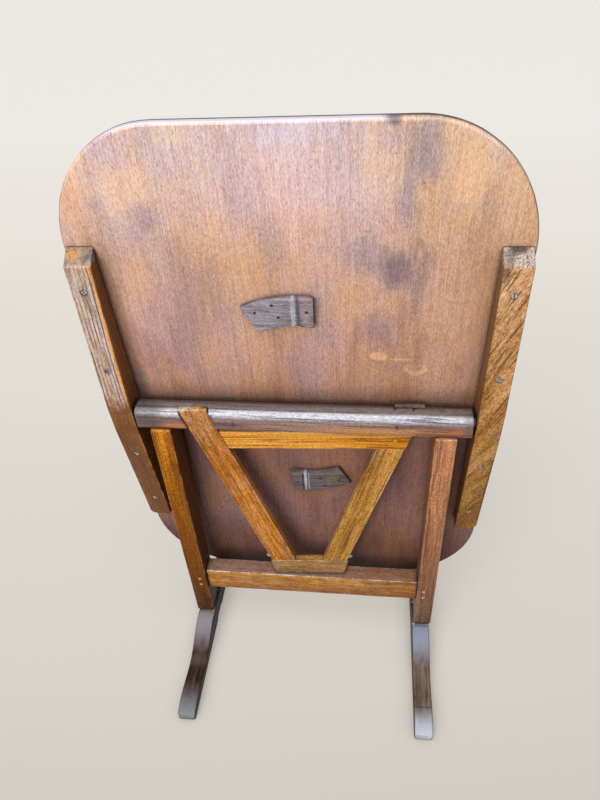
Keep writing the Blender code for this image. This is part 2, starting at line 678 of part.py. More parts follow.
def batten_thickness(reach):
    """Thickness of a batten at a distance from the tilt axis."""
    flat = BATTEN_MIDDLE_LENGTH / 2
    slope_end = BATTEN_REACH - BATTEN_END_SLOPE
    share = min(max((reach - flat) / (slope_end - flat), 0.0), 1.0)
    return BATTEN_MIDDLE_THICKNESS + (BATTEN_END_THICKNESS - BATTEN_MIDDLE_THICKNESS) * share


def top_outline():
    """The panel's outline in (x, z) of the top's own frame, with elliptical corners."""
    across = TOP_WIDTH / 2 - TOP_CORNER_WIDTH
    high = TOP_RISE - TOP_CORNER_LENGTH
    low = TOP_LOWER_CORNER_LENGTH - TOP_DROP
    outline = []
    for index, centre in enumerate(((across, high), (-across, high), (-across, low), (across, low))):
        start = index * math.pi / 2
        length = TOP_CORNER_LENGTH if centre[1] == high else TOP_LOWER_CORNER_LENGTH
        outline += arc(centre, (TOP_CORNER_WIDTH, length), start, start + math.pi / 2, CORNER_STEPS)
    return outline


def sunk_fastener(name, frame, place, surface, head, shank, length, slack, material=None):
    """A screw or nail driven into the underside at a place (x, z), or its bore with some slack.

    The head is (diameter, height, straight part); local Z points into the panel."""
    head_radius = head[0] / 2 + slack
    shank_radius = shank / 2 + slack
    top = -CUT_MARGIN if slack else 0.0
    end = length + slack
    profile = [(0.0, top), (head_radius, top), (head_radius, head[2] + slack)]
    profile += [(shank_radius, head[1] + slack), (shank_radius, end - shank)]
    profile += [(shank_radius / 2, end), (0.0, end)]
    item = turned(name, profile, SMALL_SIDES, frame, material)
    item.location = (place[0], surface, place[1])
    item.rotation_euler = (-math.pi / 2, 0, 0)
    return item


def make_batten_screw(name, frame, reach, batten, panel, turn):
    """A slotted screw through the batten into the panel."""
    place = ((BATTEN_INNER + BATTEN_OUTER) / 2, reach)
    thickness = batten_thickness(abs(reach)) - SCREW_RECESS
    surface = UNDERSIDE_OFFSET - thickness
    head = (SCREW_HEAD_DIAMETER, SCREW_HEAD_HEIGHT, SCREW_HEAD_HEIGHT / 4)
    length = thickness + SCREW_BITE
    bore = sunk_fastener(name + "_bore", frame, place, surface, head, SCREW_SHANK_DIAMETER, length, FIT)
    cut(batten, bore)
    cut(panel, bore)
    screw = sunk_fastener(
        name, frame, place, surface, head, SCREW_SHANK_DIAMETER, length, 0.0, "screw_steel"
    )
    slot = block(
        name + "_slot",
        (-SCREW_HEAD_DIAMETER, -SCREW_SLOT_WIDTH / 2, -CUT_MARGIN),
        (SCREW_HEAD_DIAMETER, SCREW_SLOT_WIDTH / 2, SCREW_SLOT_DEPTH),
        screw,
    )
    slot.rotation_euler = (0, 0, turn)
    cut(screw, slot)


def batten_corner(upward):
    """What rounding takes off a batten's outer lower corner, in (x, z); its upper end is at upward."""
    foot = BATTEN_FOOT_SETBACK - BATTEN_REACH
    centre = (BATTEN_OUTER - BATTEN_FOOT_ROUND, foot + BATTEN_FOOT_ROUND)
    radii = (BATTEN_FOOT_ROUND, BATTEN_FOOT_ROUND)
    outline = [(centre[0], foot - CUT_MARGIN)]
    outline += arc(centre, radii, -math.pi / 2, 0.0, ROUND_STEPS)
    outline += [(BATTEN_OUTER + CUT_MARGIN, centre[1]), (BATTEN_OUTER + CUT_MARGIN, foot - CUT_MARGIN)]
    return [(x, z * upward) for x, z in outline]


def make_batten(name, frame, side, panel, upward):
    """A batten across the panel, thickest at its pin, with a sloped upper end and four screws."""
    flat = BATTEN_MIDDLE_LENGTH / 2
    slope_end = BATTEN_REACH - BATTEN_END_SLOPE
    foot = BATTEN_FOOT_SETBACK - BATTEN_REACH
    middle = UNDERSIDE_OFFSET - BATTEN_MIDDLE_THICKNESS
    end = UNDERSIDE_OFFSET - BATTEN_END_THICKNESS
    upper = [(middle, flat), (end, slope_end), (CATCH_FOOT, BATTEN_REACH)]
    lower = [(CATCH_FOOT, foot), (end, foot), (end, -slope_end), (middle, -flat)]
    outline = [(y, z * upward) for y, z in upper + lower]
    batten = prism(name, outline, "yz", BATTEN_INNER, BATTEN_OUTER, frame, "batten_oak")
    front = middle - CUT_MARGIN
    corner = prism(name + "_corner", batten_corner(upward), "xz", front, CATCH_FOOT + CUT_MARGIN, frame)
    cut(batten, corner)
    round_edges(batten, BATTEN_EDGE)
    bore = rod(
        name + "_pin_bore",
        TILT_PIN_DIAMETER / 2 + RUNNING_FIT,
        BATTEN_INNER - CUT_MARGIN,
        BATTEN_OUTER + CUT_MARGIN,
        PIN_SIDES,
        frame,
    )
    cut(batten, aim(bore, (0, 0, 0), (1, 0, 0)))
    reaches = (SCREW_REACH, SCREW_REACH * SCREW_INNER_SHARE)
    for number, reach in enumerate((reaches[0], reaches[1], -reaches[1], -reaches[0]), start=1):
        turn = math.radians(35 + 50 * number)
        make_batten_screw(f"{side}_batten_screw_{number}", frame, reach, batten, panel, turn)


def catch_thickness(x):
    """Thickness of a catch on its ramp, or on its stop, at a place across it."""
    if x >= NOTCH_RIGHT:
        return CATCH_RIDGE
    ridge = NOTCH_LEFT - CATCH_NOTCH_LEAD
    share = (ridge - x) / (ridge - CATCH_RAMP_END)
    return CATCH_RIDGE + (CATCH_RAMP_END_THICKNESS - CATCH_RIDGE) * share


def catch_plan():
    """Plan of a catch in (x, z): a stretch of a ring with one straight end."""
    def stretch(radius):
        start = math.pi / 2 - math.asin(STOP_RIGHT / radius)
        end = math.pi / 2 + CATCH_RAMP_ANGLE
        return arc((0, CATCH_CENTRE), (radius, radius), start, end, CORNER_STEPS)

    return stretch(CATCH_ARC_RADIUS) + list(reversed(stretch(CATCH_ARC_RADIUS - CATCH_BAND)))


def catch_profile():
    """Section of a catch in (x, y): ramp, ridge, notch for the gate's end, and stop."""
    far = CATCH_RAMP_END - CUT_MARGIN
    ridge = NOTCH_LEFT - CATCH_NOTCH_LEAD
    past = STOP_RIGHT + CUT_MARGIN
    steps = [
        (far, catch_thickness(far)),
        (ridge, CATCH_RIDGE),
        (NOTCH_LEFT, CATCH_FLOOR),
        (NOTCH_RIGHT, CATCH_FLOOR),
        (NOTCH_RIGHT, CATCH_RIDGE),
        (past, CATCH_RIDGE),
    ]
    outline = [(x, UNDERSIDE_OFFSET - thickness) for x, thickness in steps]
    return outline + [(past, CATCH_FOOT), (far, CATCH_FOOT)]


def make_catch(name, frame, panel):
    """A catch that holds the gate's end under the level top, with its nails."""
    reach = CATCH_OUTER + CUT_MARGIN
    catch = prism(name, catch_profile(), "xy", 0.0, reach, frame, "weathered_catch")
    plan = prism(name + "_plan", catch_plan(), "xz", -UNDERSIDE_OFFSET, 2 * UNDERSIDE_OFFSET, frame)
    combine(catch, plan, "INTERSECT")
    places = []
    for angle_share, band_share in RAMP_NAILS:
        radius = CATCH_ARC_RADIUS - CATCH_BAND * (1 - band_share)
        angle = -CATCH_RAMP_ANGLE * angle_share
        places.append((radius * math.sin(angle), CATCH_CENTRE + radius * math.cos(angle)))
    places.append(((NOTCH_RIGHT + STOP_RIGHT) / 2, CATCH_INNER + CATCH_BAND * STOP_NAIL_SHARE))
    head = (NAIL_HEAD_DIAMETER, NAIL_HEAD_HEIGHT, NAIL_HEAD_HEIGHT * 0.8)
    for number, place in enumerate(places, start=1):
        nail = f"{name}_nail_{number}"
        thickness = catch_thickness(place[0]) - NAIL_RECESS
        surface = UNDERSIDE_OFFSET - thickness
        length = thickness + NAIL_BITE
        bore = sunk_fastener(nail + "_bore", frame, place, surface, head, NAIL_SHANK_DIAMETER, length, FIT)
        cut(catch, bore)
        cut(panel, bore)
        sunk_fastener(nail, frame, place, surface, head, NAIL_SHANK_DIAMETER, length, 0.0, "nail_iron")


def make_top(top):
    """The panel with its battens and catches. Local Y points from the underside to the show face."""
    panel = prism(
        "tabletop",
        top_outline(),
        "xz",
        UNDERSIDE_OFFSET,
        UNDERSIDE_OFFSET + TOP_THICKNESS,
        top,
        "varnished_top",
    )
    round_edges(panel, TOP_EDGE_ROUND)
    for side, half_turn in (("right", False), ("left", True)):
        frame = side_frame(f"top_{side}_side", top, "y", half_turn)
        make_batten(f"{side}_batten", frame, side, panel, -1 if half_turn else 1)
    for name, half_turn in (("front_catch", False), ("rear_catch", True)):
        make_catch(name, side_frame(name + "_side", top, "y", half_turn), panel)


def main():
    clear_scene()
    base = empty("base_frame", (0, 0, 0), (0, 0, 0))
    gate = empty("gate_axis", (0, 0, 0), (0, 0, GATE_REST_TURN))
    top = empty("top_axis", (0, 0, AXIS_HEIGHT), (TOP_REST_LEAN, 0, 0))
    make_base(base, gate)
    make_gate(gate)
    make_top(top)


main()
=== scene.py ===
"""The looks of a folding tilt-top tasting table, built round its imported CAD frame.

The wooden pieces are redrawn from the CAD solids with worn edges and a grain that follows each piece.
Lengths are in metres, colours are sRGB numbers from 0 to 255, and the light falls at a plain level.
"""
import json
import math

import bmesh
import bpy
from mathutils import Matrix, Vector, noise


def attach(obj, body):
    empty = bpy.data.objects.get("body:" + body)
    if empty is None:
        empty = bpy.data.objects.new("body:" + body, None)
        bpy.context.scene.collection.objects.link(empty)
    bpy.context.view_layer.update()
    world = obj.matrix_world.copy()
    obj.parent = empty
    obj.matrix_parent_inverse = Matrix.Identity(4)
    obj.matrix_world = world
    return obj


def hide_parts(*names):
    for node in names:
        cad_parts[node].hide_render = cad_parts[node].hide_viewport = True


# Camera, as solved from the photograph's straight edges
CAMERA_PLACE = Vector((0.1281, -0.8774, 1.444))
CAMERA_PITCH = math.radians(39.29)
CAMERA_YAW = math.radians(-8.234)
CAMERA_ROLL = math.radians(3.665)
CAMERA_LENS = 28.263
CAMERA_SENSOR = 36.0
CAMERA_CLIP_END = 100.0

# Shape of the panel, a hair inside the CAD's, and the turn of the gate
TOP_HALF_WIDTH = 0.369
TOP_RISE = 0.5241
TOP_DROP = 0.5685
TOP_CORNER_WIDTH = 0.185
TOP_UPPER_CORNER = 0.200
TOP_LOWER_CORNER = 0.195
TOP_UNDERSIDE = 0.0355
TOP_SHOW = 0.0555
TOP_EDGE_ROUND = 0.005
CORNER_STEPS = 40
RIM_STEPS = 5
RIM_EASE = 0.0005
RIM_EASE_SCALE = 26
RIM_EASE_DEPTH_SCALE = 60
GATE_TURN = math.radians(2.74)

# Worn edges
WELD = 0.00002
FLAT_ANGLE = math.radians(0.4)
SHARP_ANGLE = math.radians(50)
EDGE_START = math.radians(20)
EDGE_FULL = math.radians(42)
EDGE_LIMIT = math.radians(62)
EDGE_WEAR = 0.0007
WEAR_START = 0.15
DENT_SCALE = 38
DENT_SHARE = 0.6
NICK_SCALE = 130
NICK_SHARE = 0.4
CUT_LENGTH = 0.012
CATCH_CUT_LENGTH = 0.004
END_SHARE = 0.08

# Grain of all woods: noise scales along and across it, and how much each noise counts
SEED_SHIFT = (1.37, 0.731, 0.417)
SWAY_SCALE = (6.0, 14.0, 14.0)
BROAD_SCALE = (2.2, 16.0, 16.0)
LINE_SCALE = (4.5, 130.0, 130.0)
FIBRE_SCALE = (22.0, 460.0, 460.0)
RING_FADE_SCALE = (5.0, 60.0, 60.0)
SPECK_SCALE = (170.0, 430.0, 430.0)
RUB_SCALE = (30.0, 60.0, 60.0)
BROAD_SHARE = 1.8
LINE_SHARE = 1.5
FIBRE_SHARE = 0.5
FRAY_SHARE = 1.5
TONE_STOPS = (0.2, 0.5, 0.8)
SPECK_RANGE = (0.32, 0.68)
SPECK_GREYS = (60, 225)
GRAIN_DEPTH = 0.0006
LINE_RELIEF = 0.8
SPECK_RELIEF = 0.3
COAT_ROUGHNESS = 0.34
WOOD_ROUGHNESS_SPREAD = 0.08

# Where most of a noise lies
NOISE_RANGE = (0.3, 0.7)

# Dark corners: painted shade in the corners and gaps of the wood
CREASE_CLOSED = 0.42
CREASE_OPEN = 0.92
CREASE_SAMPLES = 4
CREASE_SHADE_REACH = 0.012
CREASE_SHADE_SHARE = 0.8
CREASE_SHADE_TONE = (34, 22, 15)

# Metal
METAL_SCALE = (300.0, 300.0, 300.0)
METAL_DARK_SHARE = 0.45
METAL_CREASE_REACH = 0.0025
METAL_CREASE_TONE = (24, 22, 26)
METAL_ROUGHNESS_SPREAD = 0.1
METAL_DEPTH = 0.0002
METAL_RELIEF = 0.5

# Directions in the frame and in a piece's own grain
UP = Vector((0, 0, 1))
RIGHT = Vector((1, 0, 0))
BACK = Vector((0, 1, 0))
ALONG = (1, 0, 0)
ACROSS = (0, 1, 0)
OUT = (0, 0, 1)

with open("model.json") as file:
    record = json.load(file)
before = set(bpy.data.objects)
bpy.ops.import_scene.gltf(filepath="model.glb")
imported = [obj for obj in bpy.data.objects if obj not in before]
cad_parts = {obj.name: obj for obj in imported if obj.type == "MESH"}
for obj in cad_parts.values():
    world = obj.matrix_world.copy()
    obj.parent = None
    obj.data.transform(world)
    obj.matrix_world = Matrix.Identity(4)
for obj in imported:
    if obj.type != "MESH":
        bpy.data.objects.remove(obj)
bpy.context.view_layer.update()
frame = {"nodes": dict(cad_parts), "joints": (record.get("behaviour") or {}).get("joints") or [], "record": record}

surface = next(m for m in frame["record"]["mounts"] if m["name"] == "table_surface")
tilt = next(j for j in frame["joints"] if j["name"] == "top_tilt")
TOP_LEAN = math.atan2(surface["axis"][2], surface["axis"][1])
TOP_PLACE = Vector(tilt["pos_m"])
TOP_TURN = Matrix.Rotation(TOP_LEAN, 3, "X")
GATE_TURNED = Matrix.Rotation(GATE_TURN, 3, "Z")


# Places on the CAD pieces
def node_points(node):
    """The corners of a CAD piece."""
    return [v.co for v in frame["nodes"][node].data.vertices]


def mean(points):
    return sum(points, Vector()) / len(points)


def extent(node, grain, axis):
    """Where a CAD piece starts and ends along one axis of a grain frame."""
    places = [(grain.inverted() @ point)[axis] for point in node_points(node)]
    return min(places), max(places)


def long_axis(node):
    """The direction of a straight CAD piece, from its lower to its upper end."""
    points = node_points(node)
    low = min(p.z for p in points)
    high = max(p.z for p in points)
    band = (high - low) * END_SHARE
    foot = mean([p for p in points if p.z < low + band])
    head = mean([p for p in points if p.z > high - band])
    return (head - foot).normalized()


# Grain frames
def grain_frame(along, side, origin=(0, 0, 0)):
    """A frame whose X runs along the grain and whose Y points to the side."""
    x = Vector(along).normalized()
    z = x.cross(Vector(side)).normalized()
    y = z.cross(x)
    turned = Matrix((x, y, z)).transposed().to_4x4()
    return Matrix.Translation(origin) @ turned


def foot_grain(node):
    return grain_frame(BACK, UP, RIGHT * mean(node_points(node)).x)


def gate_grain(node):
    """Along its own slope for a diagonal, along the gate for a rail."""
    if "diagonal" in node:
        return grain_frame(long_axis(node), GATE_TURNED @ RIGHT)
    return grain_frame(GATE_TURNED @ RIGHT, GATE_TURNED @ BACK)


def catch_grain(sign):
    return grain_frame(RIGHT * sign, TOP_TURN @ UP * sign, TOP_PLACE)


upright_grain = grain_frame(UP, RIGHT)
bar_grain = grain_frame(RIGHT, BACK)
top_grain = grain_frame(TOP_TURN @ UP, RIGHT, TOP_PLACE)


# Materials, node by node
def tone(red, green, blue):
    """An sRGB colour from 0 to 255 as the linear colour that a shader takes."""
    linear = []
    for part in (red, green, blue):
        share = part / 255
        linear.append(share / 12.92 if share <= 0.04045 else ((share + 0.055) / 1.055) ** 2.4)
    return (*linear, 1.0)


class Paint:
    """One procedural material. Its colour is laid on in layers."""

    def __init__(self, name):
        self.material = bpy.data.materials.new(name)
        self.material.use_nodes = True
        self.tree = self.material.node_tree
        self.shader = self.tree.nodes["Principled BSDF"]
        self.place = self.add("ShaderNodeTexCoord").outputs["Object"]
        self.colour = None

    def put(self, socket, value):
        """Links a socket to another one, or gives it a fixed value."""
        if isinstance(value, bpy.types.NodeSocket):
            self.tree.links.new(value, socket)
        else:
            socket.default_value = value

    def add(self, kind, inputs=None, **settings):
        node = self.tree.nodes.new(kind)
        for key, value in settings.items():
            setattr(node, key, value)
        for socket, value in (inputs or {}).items():
            self.put(node.inputs[socket], value)
        return node

    def set(self, **values):
        """Fills the shader's own sockets by their names."""
        for name, value in values.items():
            socket = name.replace("_", " ").title().replace("Ior", "IOR")
            self.put(self.shader.inputs[socket], value)

    def combine(self, operation, first, second):
        return self.add("ShaderNodeMath", {0: first, 1: second}, operation=operation).outputs[0]

    def plus(self, first, second):
        return self.combine("ADD", first, second)

    def times(self, first, second):
        return self.combine("MULTIPLY", first, second)

    def swing(self, value, amount):
        """A noise from 0 to 1 as one that swings about 0."""
        return self.times(self.combine("SUBTRACT", value, 0.5), amount)

    def vector(self, operation, first, second):
        return self.add("ShaderNodeVectorMath", {0: first, 1: second}, operation=operation).outputs[0]

    def noise(self, place, scale, detail=2.0, roughness=0.5, distortion=0.0):
        inputs = {
            "Vector": self.vector("MULTIPLY", place, scale), "Scale": 1.0, "Detail": detail,
            "Roughness": roughness, "Distortion": distortion,
        }
        return self.add("ShaderNodeTexNoise", inputs).outputs[0]

    def bands(self, place, scale, distortion):
        """Long lines across local Y."""
        inputs = {
            "Vector": self.vector("MULTIPLY", place, scale), "Scale": 1.0, "Distortion": distortion,
            "Detail": 2.0, "Detail Scale": 0.6,
        }
        settings = {"wave_type": "BANDS", "bands_direction": "Y", "wave_profile": "SIN"}
        return self.add("ShaderNodeTexWave", inputs, **settings).outputs["Fac"]

    def span(self, value, low, high, to_low=0.0, to_high=1.0, kind="SMOOTHSTEP"):
        """A value taken from one range to another and held at the ends."""
        inputs = {"Value": value, "From Min": low, "From Max": high, "To Min": to_low, "To Max": to_high}
        return self.add("ShaderNodeMapRange", inputs, interpolation_type=kind).outputs[0]

    def mix(self, share, first, second, blend="MIX"):
        inputs = {0: share, 6: first, 7: second}
        return self.add("ShaderNodeMix", inputs, data_type="RGBA", blend_type=blend).outputs[2]

    def ramp(self, value, stops):
        """A colour for each value; stops are (position, colour)."""
        node = self.add("ShaderNodeValToRGB", {"Fac": value})
        points = node.color_ramp.elements
        while len(points) < len(stops):
            points.new(0.5)
        for point, (position, colour) in zip(points, stops):
            point.position = position
            point.color = tone(*colour)
        return node.outputs["Color"]

    def cover(self, share, colour):
        """Lays one colour over the layers so far."""
        self.colour = self.mix(share, self.colour, tone(*colour))

    def tint(self, shade):
        """Multiplies the layers so far by a colour."""
        self.colour = self.mix(1.0, self.colour, shade, "MULTIPLY")

    def roughen(self, share, value, low, high, dark, light):
        """Lets a noise darken and lighten the layers so far, between two greys."""
        grey = self.ramp(self.span(value, low, high), ((0.0, (dark,) * 3), (1.0, (light,) * 3)))
        self.colour = self.mix(share, self.colour, grey, "OVERLAY")

    def coordinate(self, axis):
        return self.add("ShaderNodeSeparateXYZ", {0: self.place}).outputs[axis]

    def toward(self, direction):
        """How far a point lies along a local direction."""
        inputs = {0: self.place, 1: direction}
        return self.add("ShaderNodeVectorMath", inputs, operation="DOT_PRODUCT").outputs["Value"]

    def edge(self):
        """How sharp the edge at a point is, as kept in the mesh."""
        return self.add("ShaderNodeAttribute", attribute_name="wear").outputs["Fac"]

    def blot(self, centre, reach, ragged=0.4, grain=(20.0, 45.0, 45.0), core=0.35):
        """1 round a point, 0 outside, with a ragged rim that starts at core. A reach of 0 has no limit."""
        away = self.vector("SUBTRACT", self.place, centre)
        away = self.vector("MULTIPLY", away, [1 / length if length else 0.0 for length in reach])
        far = self.add("ShaderNodeVectorMath", {0: away}, operation="LENGTH").outputs["Value"]
        rim = self.swing(self.noise(self.place, grain, detail=3.0, roughness=0.6), 2 * ragged)
        return self.span(self.plus(far, rim), 1.0, core)

    def stain(self, centre, reach, colour, strength, **rim):
        """A mark of one colour round a point."""
        self.cover(self.times(self.blot(centre, reach, **rim), strength), colour)

    def crease(self, reach):
        """1 in a narrow corner or gap, 0 in the open."""
        corner = self.add("ShaderNodeAmbientOcclusion", {"Distance": reach}, samples=CREASE_SAMPLES)
        return self.span(corner.outputs["AO"], CREASE_CLOSED, CREASE_OPEN, 1.0, 0.0)

    def roughness(self, value, middle, spread):
        """A roughness that a noise takes up and down."""
        self.set(roughness=self.span(value, *NOISE_RANGE, middle - spread, middle + spread))

    def bump(self, height, depth, strength):
        node = self.add("ShaderNodeBump", {"Height": height, "Strength": strength, "Distance": depth})
        self.put(self.shader.inputs["Normal"], node.outputs[0])


class Wood(Paint):
    """A wood whose grain runs along local X. tones are dark, middle and light."""

    def __init__(self, name, tones, seed, slant, wave, figure, streak):
        super().__init__(name)
        turn = {"Vector": self.place, "Angle": slant}
        turned = self.add("ShaderNodeVectorRotate", turn, rotation_type="Z_AXIS").outputs[0]
        self.spot = self.vector("ADD", turned, [seed * share for share in SEED_SHIFT])
        sway = self.swing(self.noise(self.spot, SWAY_SCALE), 2 * wave)
        offset = self.add("ShaderNodeCombineXYZ", {0: 0.0, 1: sway, 2: sway}).outputs[0]
        self.wavy = self.vector("ADD", self.spot, offset)
        broad = self.noise(self.wavy, BROAD_SCALE, detail=3.0, distortion=0.6)
        self.lines = self.noise(self.wavy, LINE_SCALE, detail=3.0, roughness=0.65)
        fibres = self.noise(self.wavy, FIBRE_SCALE)
        self.specks = self.noise(self.spot, SPECK_SCALE, roughness=0.6)
        value = self.swing(broad, figure * BROAD_SHARE)
        value = self.plus(value, self.swing(self.lines, streak * LINE_SHARE))
        value = self.plus(value, self.swing(fibres, FIBRE_SHARE))
        self.colour = self.ramp(self.plus(value, 0.5), list(zip(TONE_STOPS, tones)))

    def add_rings(self, scale, distortion, colour, strength):
        """Long growth lines that fade here and there."""
        line = self.span(self.bands(self.wavy, scale, distortion), 0.62, 0.95)
        fade = self.span(self.noise(self.wavy, RING_FADE_SCALE), 0.35, 0.6, 0.25, strength)
        self.cover(self.times(line, fade), colour)

    def add_patch(self, scale, shift, low, high, colour, strength):
        """Clouds of another colour, where a noise lies above low."""
        place = self.vector("ADD", self.spot, (shift, shift, shift))
        cloud = self.noise(place, scale, detail=4.0, roughness=0.6)
        self.cover(self.span(cloud, low, high, 0.0, strength), colour)

    def add_shade(self, start, end, stops):
        """Colours multiplied in along the grain."""
        share = self.span(self.coordinate(0), start, end, kind="LINEAR")
        self.tint(self.ramp(share, stops))

    def add_zone(self, fray, direction, start, end, colour, strength):
        """A colour that comes in along a local direction, with a frayed rim."""
        ragged = self.noise(self.spot, fray, detail=4.0, roughness=0.65)
        ragged = self.swing(ragged, (end - start) * FRAY_SHARE)
        reach = self.plus(self.toward(direction), ragged)
        self.cover(self.span(reach, start, end, 0.0, strength), colour)

    def add_veins(self, strength, colour, scale):
        """Thin dark lines along the grain."""
        vein = self.noise(self.wavy, scale, detail=1.5, roughness=0.6)
        self.cover(self.span(vein, 0.53, 0.66, 0.0, strength), colour)

    def add_wear(self, colour, share):
        """Rubbed edges, in patches."""
        patch = self.noise(self.spot, RUB_SCALE, detail=4.0, roughness=0.65)
        rub = self.times(self.edge(), self.span(patch, 0.42, 0.6, 0.05, share))
        self.cover(rub, colour)


def wood(name, tones, seed, slant=0.0, wave=0.006, figure=0.5, streak=0.6, rings=None, patches=(),
         along=None, zones=(), fray=(40.0, 90.0, 90.0), marks=(), mark_ragged=0.4, mark_core=0.35,
         veins=0.0, vein_tone=(80, 52, 34), vein_scale=(3.0, 210.0, 210.0), grit=0.35,
         worn=None, worn_share=0.8, rough=0.42, gloss=0.2, coat=0.0, relief=0.7):
    """A worn wood, laid on in this order.

    figure and streak are the strengths of broad and fine grain, wave is how far it sways.
    rings: (scale, distortion, colour, strength). patches: (scale, shift, low, high, colour, strength).
    along: (start, end, [(share, colour)]), multiplied in along the grain.
    zones: (direction, start, end, colour, strength), with the noise scale fray for their rims.
    marks: (centre, reach, colour, strength), with the rims that mark_ragged and mark_core give.
    veins, grit and worn_share are strengths, and relief is the strength of the grain's bump.
    """
    paint = Wood(name, tones, seed, slant, wave, figure, streak)
    if rings:
        paint.add_rings(*rings)
    for patch in patches:
        paint.add_patch(*patch)
    if along:
        paint.add_shade(*along)
    for zone in zones:
        paint.add_zone(fray, *zone)
    for mark in marks:
        paint.stain(*mark, ragged=mark_ragged, core=mark_core)
    if veins:
        paint.add_veins(veins, vein_tone, vein_scale)
    paint.roughen(grit, paint.specks, *SPECK_RANGE, *SPECK_GREYS)
    if worn:
        paint.add_wear(worn, worn_share)
    # Painted shade in the corners and gaps of the wood
    paint.cover(paint.times(paint.crease(CREASE_SHADE_REACH), CREASE_SHADE_SHARE), CREASE_SHADE_TONE)
    paint.set(base_color=paint.colour, specular_ior_level=gloss)
    paint.set(coat_weight=coat, coat_roughness=COAT_ROUGHNESS)
    paint.roughness(paint.lines, rough, WOOD_ROUGHNESS_SPREAD)
    height = paint.plus(paint.times(paint.lines, LINE_RELIEF), paint.times(paint.specks, SPECK_RELIEF))
    paint.bump(height, GRAIN_DEPTH, relief)
    return paint.material


def metal(name, colour, rough, metallic):
    """A dull metal, darker in patches, with painted shade in its corners and slots."""
    paint = Paint(name)
    patch = paint.noise(paint.place, METAL_SCALE, detail=3.0)
    dark = [part * METAL_DARK_SHARE for part in colour]
    paint.colour = paint.ramp(patch, ((0.35, dark), (0.6, colour)))
    # Painted shade in the corners and slots of the metal
    paint.cover(paint.crease(METAL_CREASE_REACH), METAL_CREASE_TONE)
    paint.set(base_color=paint.colour, metallic=metallic)
    paint.roughness(patch, rough, METAL_ROUGHNESS_SPREAD)
    paint.bump(patch, METAL_DEPTH, METAL_RELIEF)
    return paint.material


# Worn pieces
def sharpness(vertex):
    """How sharp the outward edge at a vertex is, from 0 to 1."""
    worst = 0.0
    for edge in vertex.link_edges:
        if len(edge.link_faces) == 2 and edge.is_convex:
            angle = edge.calc_face_angle()
            if angle < EDGE_LIMIT:
                worst = max(worst, angle)
    return min(1.0, max(0.0, (worst - EDGE_START) / (EDGE_FULL - EDGE_START)))


def finish_mesh(mesh, material):
    """Gives a mesh its material, and smooth faces between sharp edges."""
    mesh.materials.clear()
    mesh.materials.append(material)
    mesh.shade_smooth()
    mesh.set_sharp_from_angle(angle=SHARP_ANGLE)


def settle(work, name, grain, body, nodes, material):
    """Puts a finished piece on its body in place of CAD nodes."""
    mesh = bpy.data.meshes.new(name)
    work.to_mesh(mesh)
    work.free()
    item = bpy.data.objects.new(name, mesh)
    item.matrix_world = grain
    bpy.context.scene.collection.objects.link(item)
    finish_mesh(mesh, material)
    item.modifiers.new("even_shading", "WEIGHTED_NORMAL").keep_sharp = True
    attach(item, body)
    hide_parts(*nodes)


def cut_lengths(work, axis, length):
    """Cuts a mesh into short lengths along one axis."""
    low = min(v.co[axis] for v in work.verts)
    high = max(v.co[axis] for v in work.verts)
    count = max(2, round((high - low) / length))
    normal = Vector((axis == 0, axis == 1, 0))
    for index in range(1, count):
        geometry = work.verts[:] + work.edges[:] + work.faces[:]
        place = normal * (low + (high - low) * index / count)
        bmesh.ops.bisect_plane(work, geom=geometry, dist=WELD, plane_co=place, plane_no=normal)


def wear_edges(work, grain):
    """Rubs the outward edges down here and there, and keeps how sharp each one is."""
    work.normal_update()
    layer = work.verts.layers.float.new("wear")
    moves = []
    for vertex in work.verts:
        sharp = sharpness(vertex)
        vertex[layer] = sharp
        if sharp:
            spot = grain @ vertex.co
            dent = noise.noise(spot * DENT_SCALE) * DENT_SHARE
            nick = noise.noise(spot * NICK_SCALE) * NICK_SHARE
            depth = EDGE_WEAR * sharp * max(0.0, dent + nick + WEAR_START)
            moves.append((vertex, vertex.normal * depth))
    for vertex, move in moves:
        vertex.co -= move


def dress(node, grain, body, material, step=CUT_LENGTH, across=None):
    """A CAD piece again, cut into short lengths along and across its grain, with its edges worn."""
    work = bmesh.new()
    work.from_mesh(frame["nodes"][node].data)
    work.transform(grain.inverted())
    bmesh.ops.remove_doubles(work, verts=work.verts, dist=WELD)
    bmesh.ops.dissolve_limit(work, angle_limit=FLAT_ANGLE, verts=work.verts, edges=work.edges)
    for axis, length in enumerate((step, across)):
        if length:
            cut_lengths(work, axis, length)
    wear_edges(work, grain)
    settle(work, node + "_wood", grain, body, [node], material)


# Panel
def corner_outline(inset):
    """The panel's outline in (v, x), drawn in by an inset."""
    wide = TOP_HALF_WIDTH - TOP_CORNER_WIDTH
    high = TOP_RISE - TOP_UPPER_CORNER
    low = TOP_LOWER_CORNER - TOP_DROP
    points = []
    for index, (x, v) in enumerate(((wide, high), (-wide, high), (-wide, low), (wide, low))):
        length = (TOP_UPPER_CORNER if v == high else TOP_LOWER_CORNER) - inset
        width = TOP_CORNER_WIDTH - inset
        for number in range(CORNER_STEPS + 1):
            angle = (index + number / CORNER_STEPS) * math.pi / 2
            points.append((v + length * math.sin(angle), x + width * math.cos(angle)))
    return points


def rim_rows():
    """The rings of the rounded rim from the underside to the show face: inset, depth and share of wear."""
    lower = []
    upper = []
    for number in range(RIM_STEPS + 1):
        angle = number / RIM_STEPS * math.pi / 2
        inset = TOP_EDGE_ROUND * (1 - math.sin(angle))
        depth = TOP_EDGE_ROUND * (1 - math.cos(angle))
        lower.append((inset, TOP_UNDERSIDE + depth, math.sin(angle)))
        upper.append((inset, TOP_SHOW - depth, math.sin(angle)))
    return lower + upper[::-1]


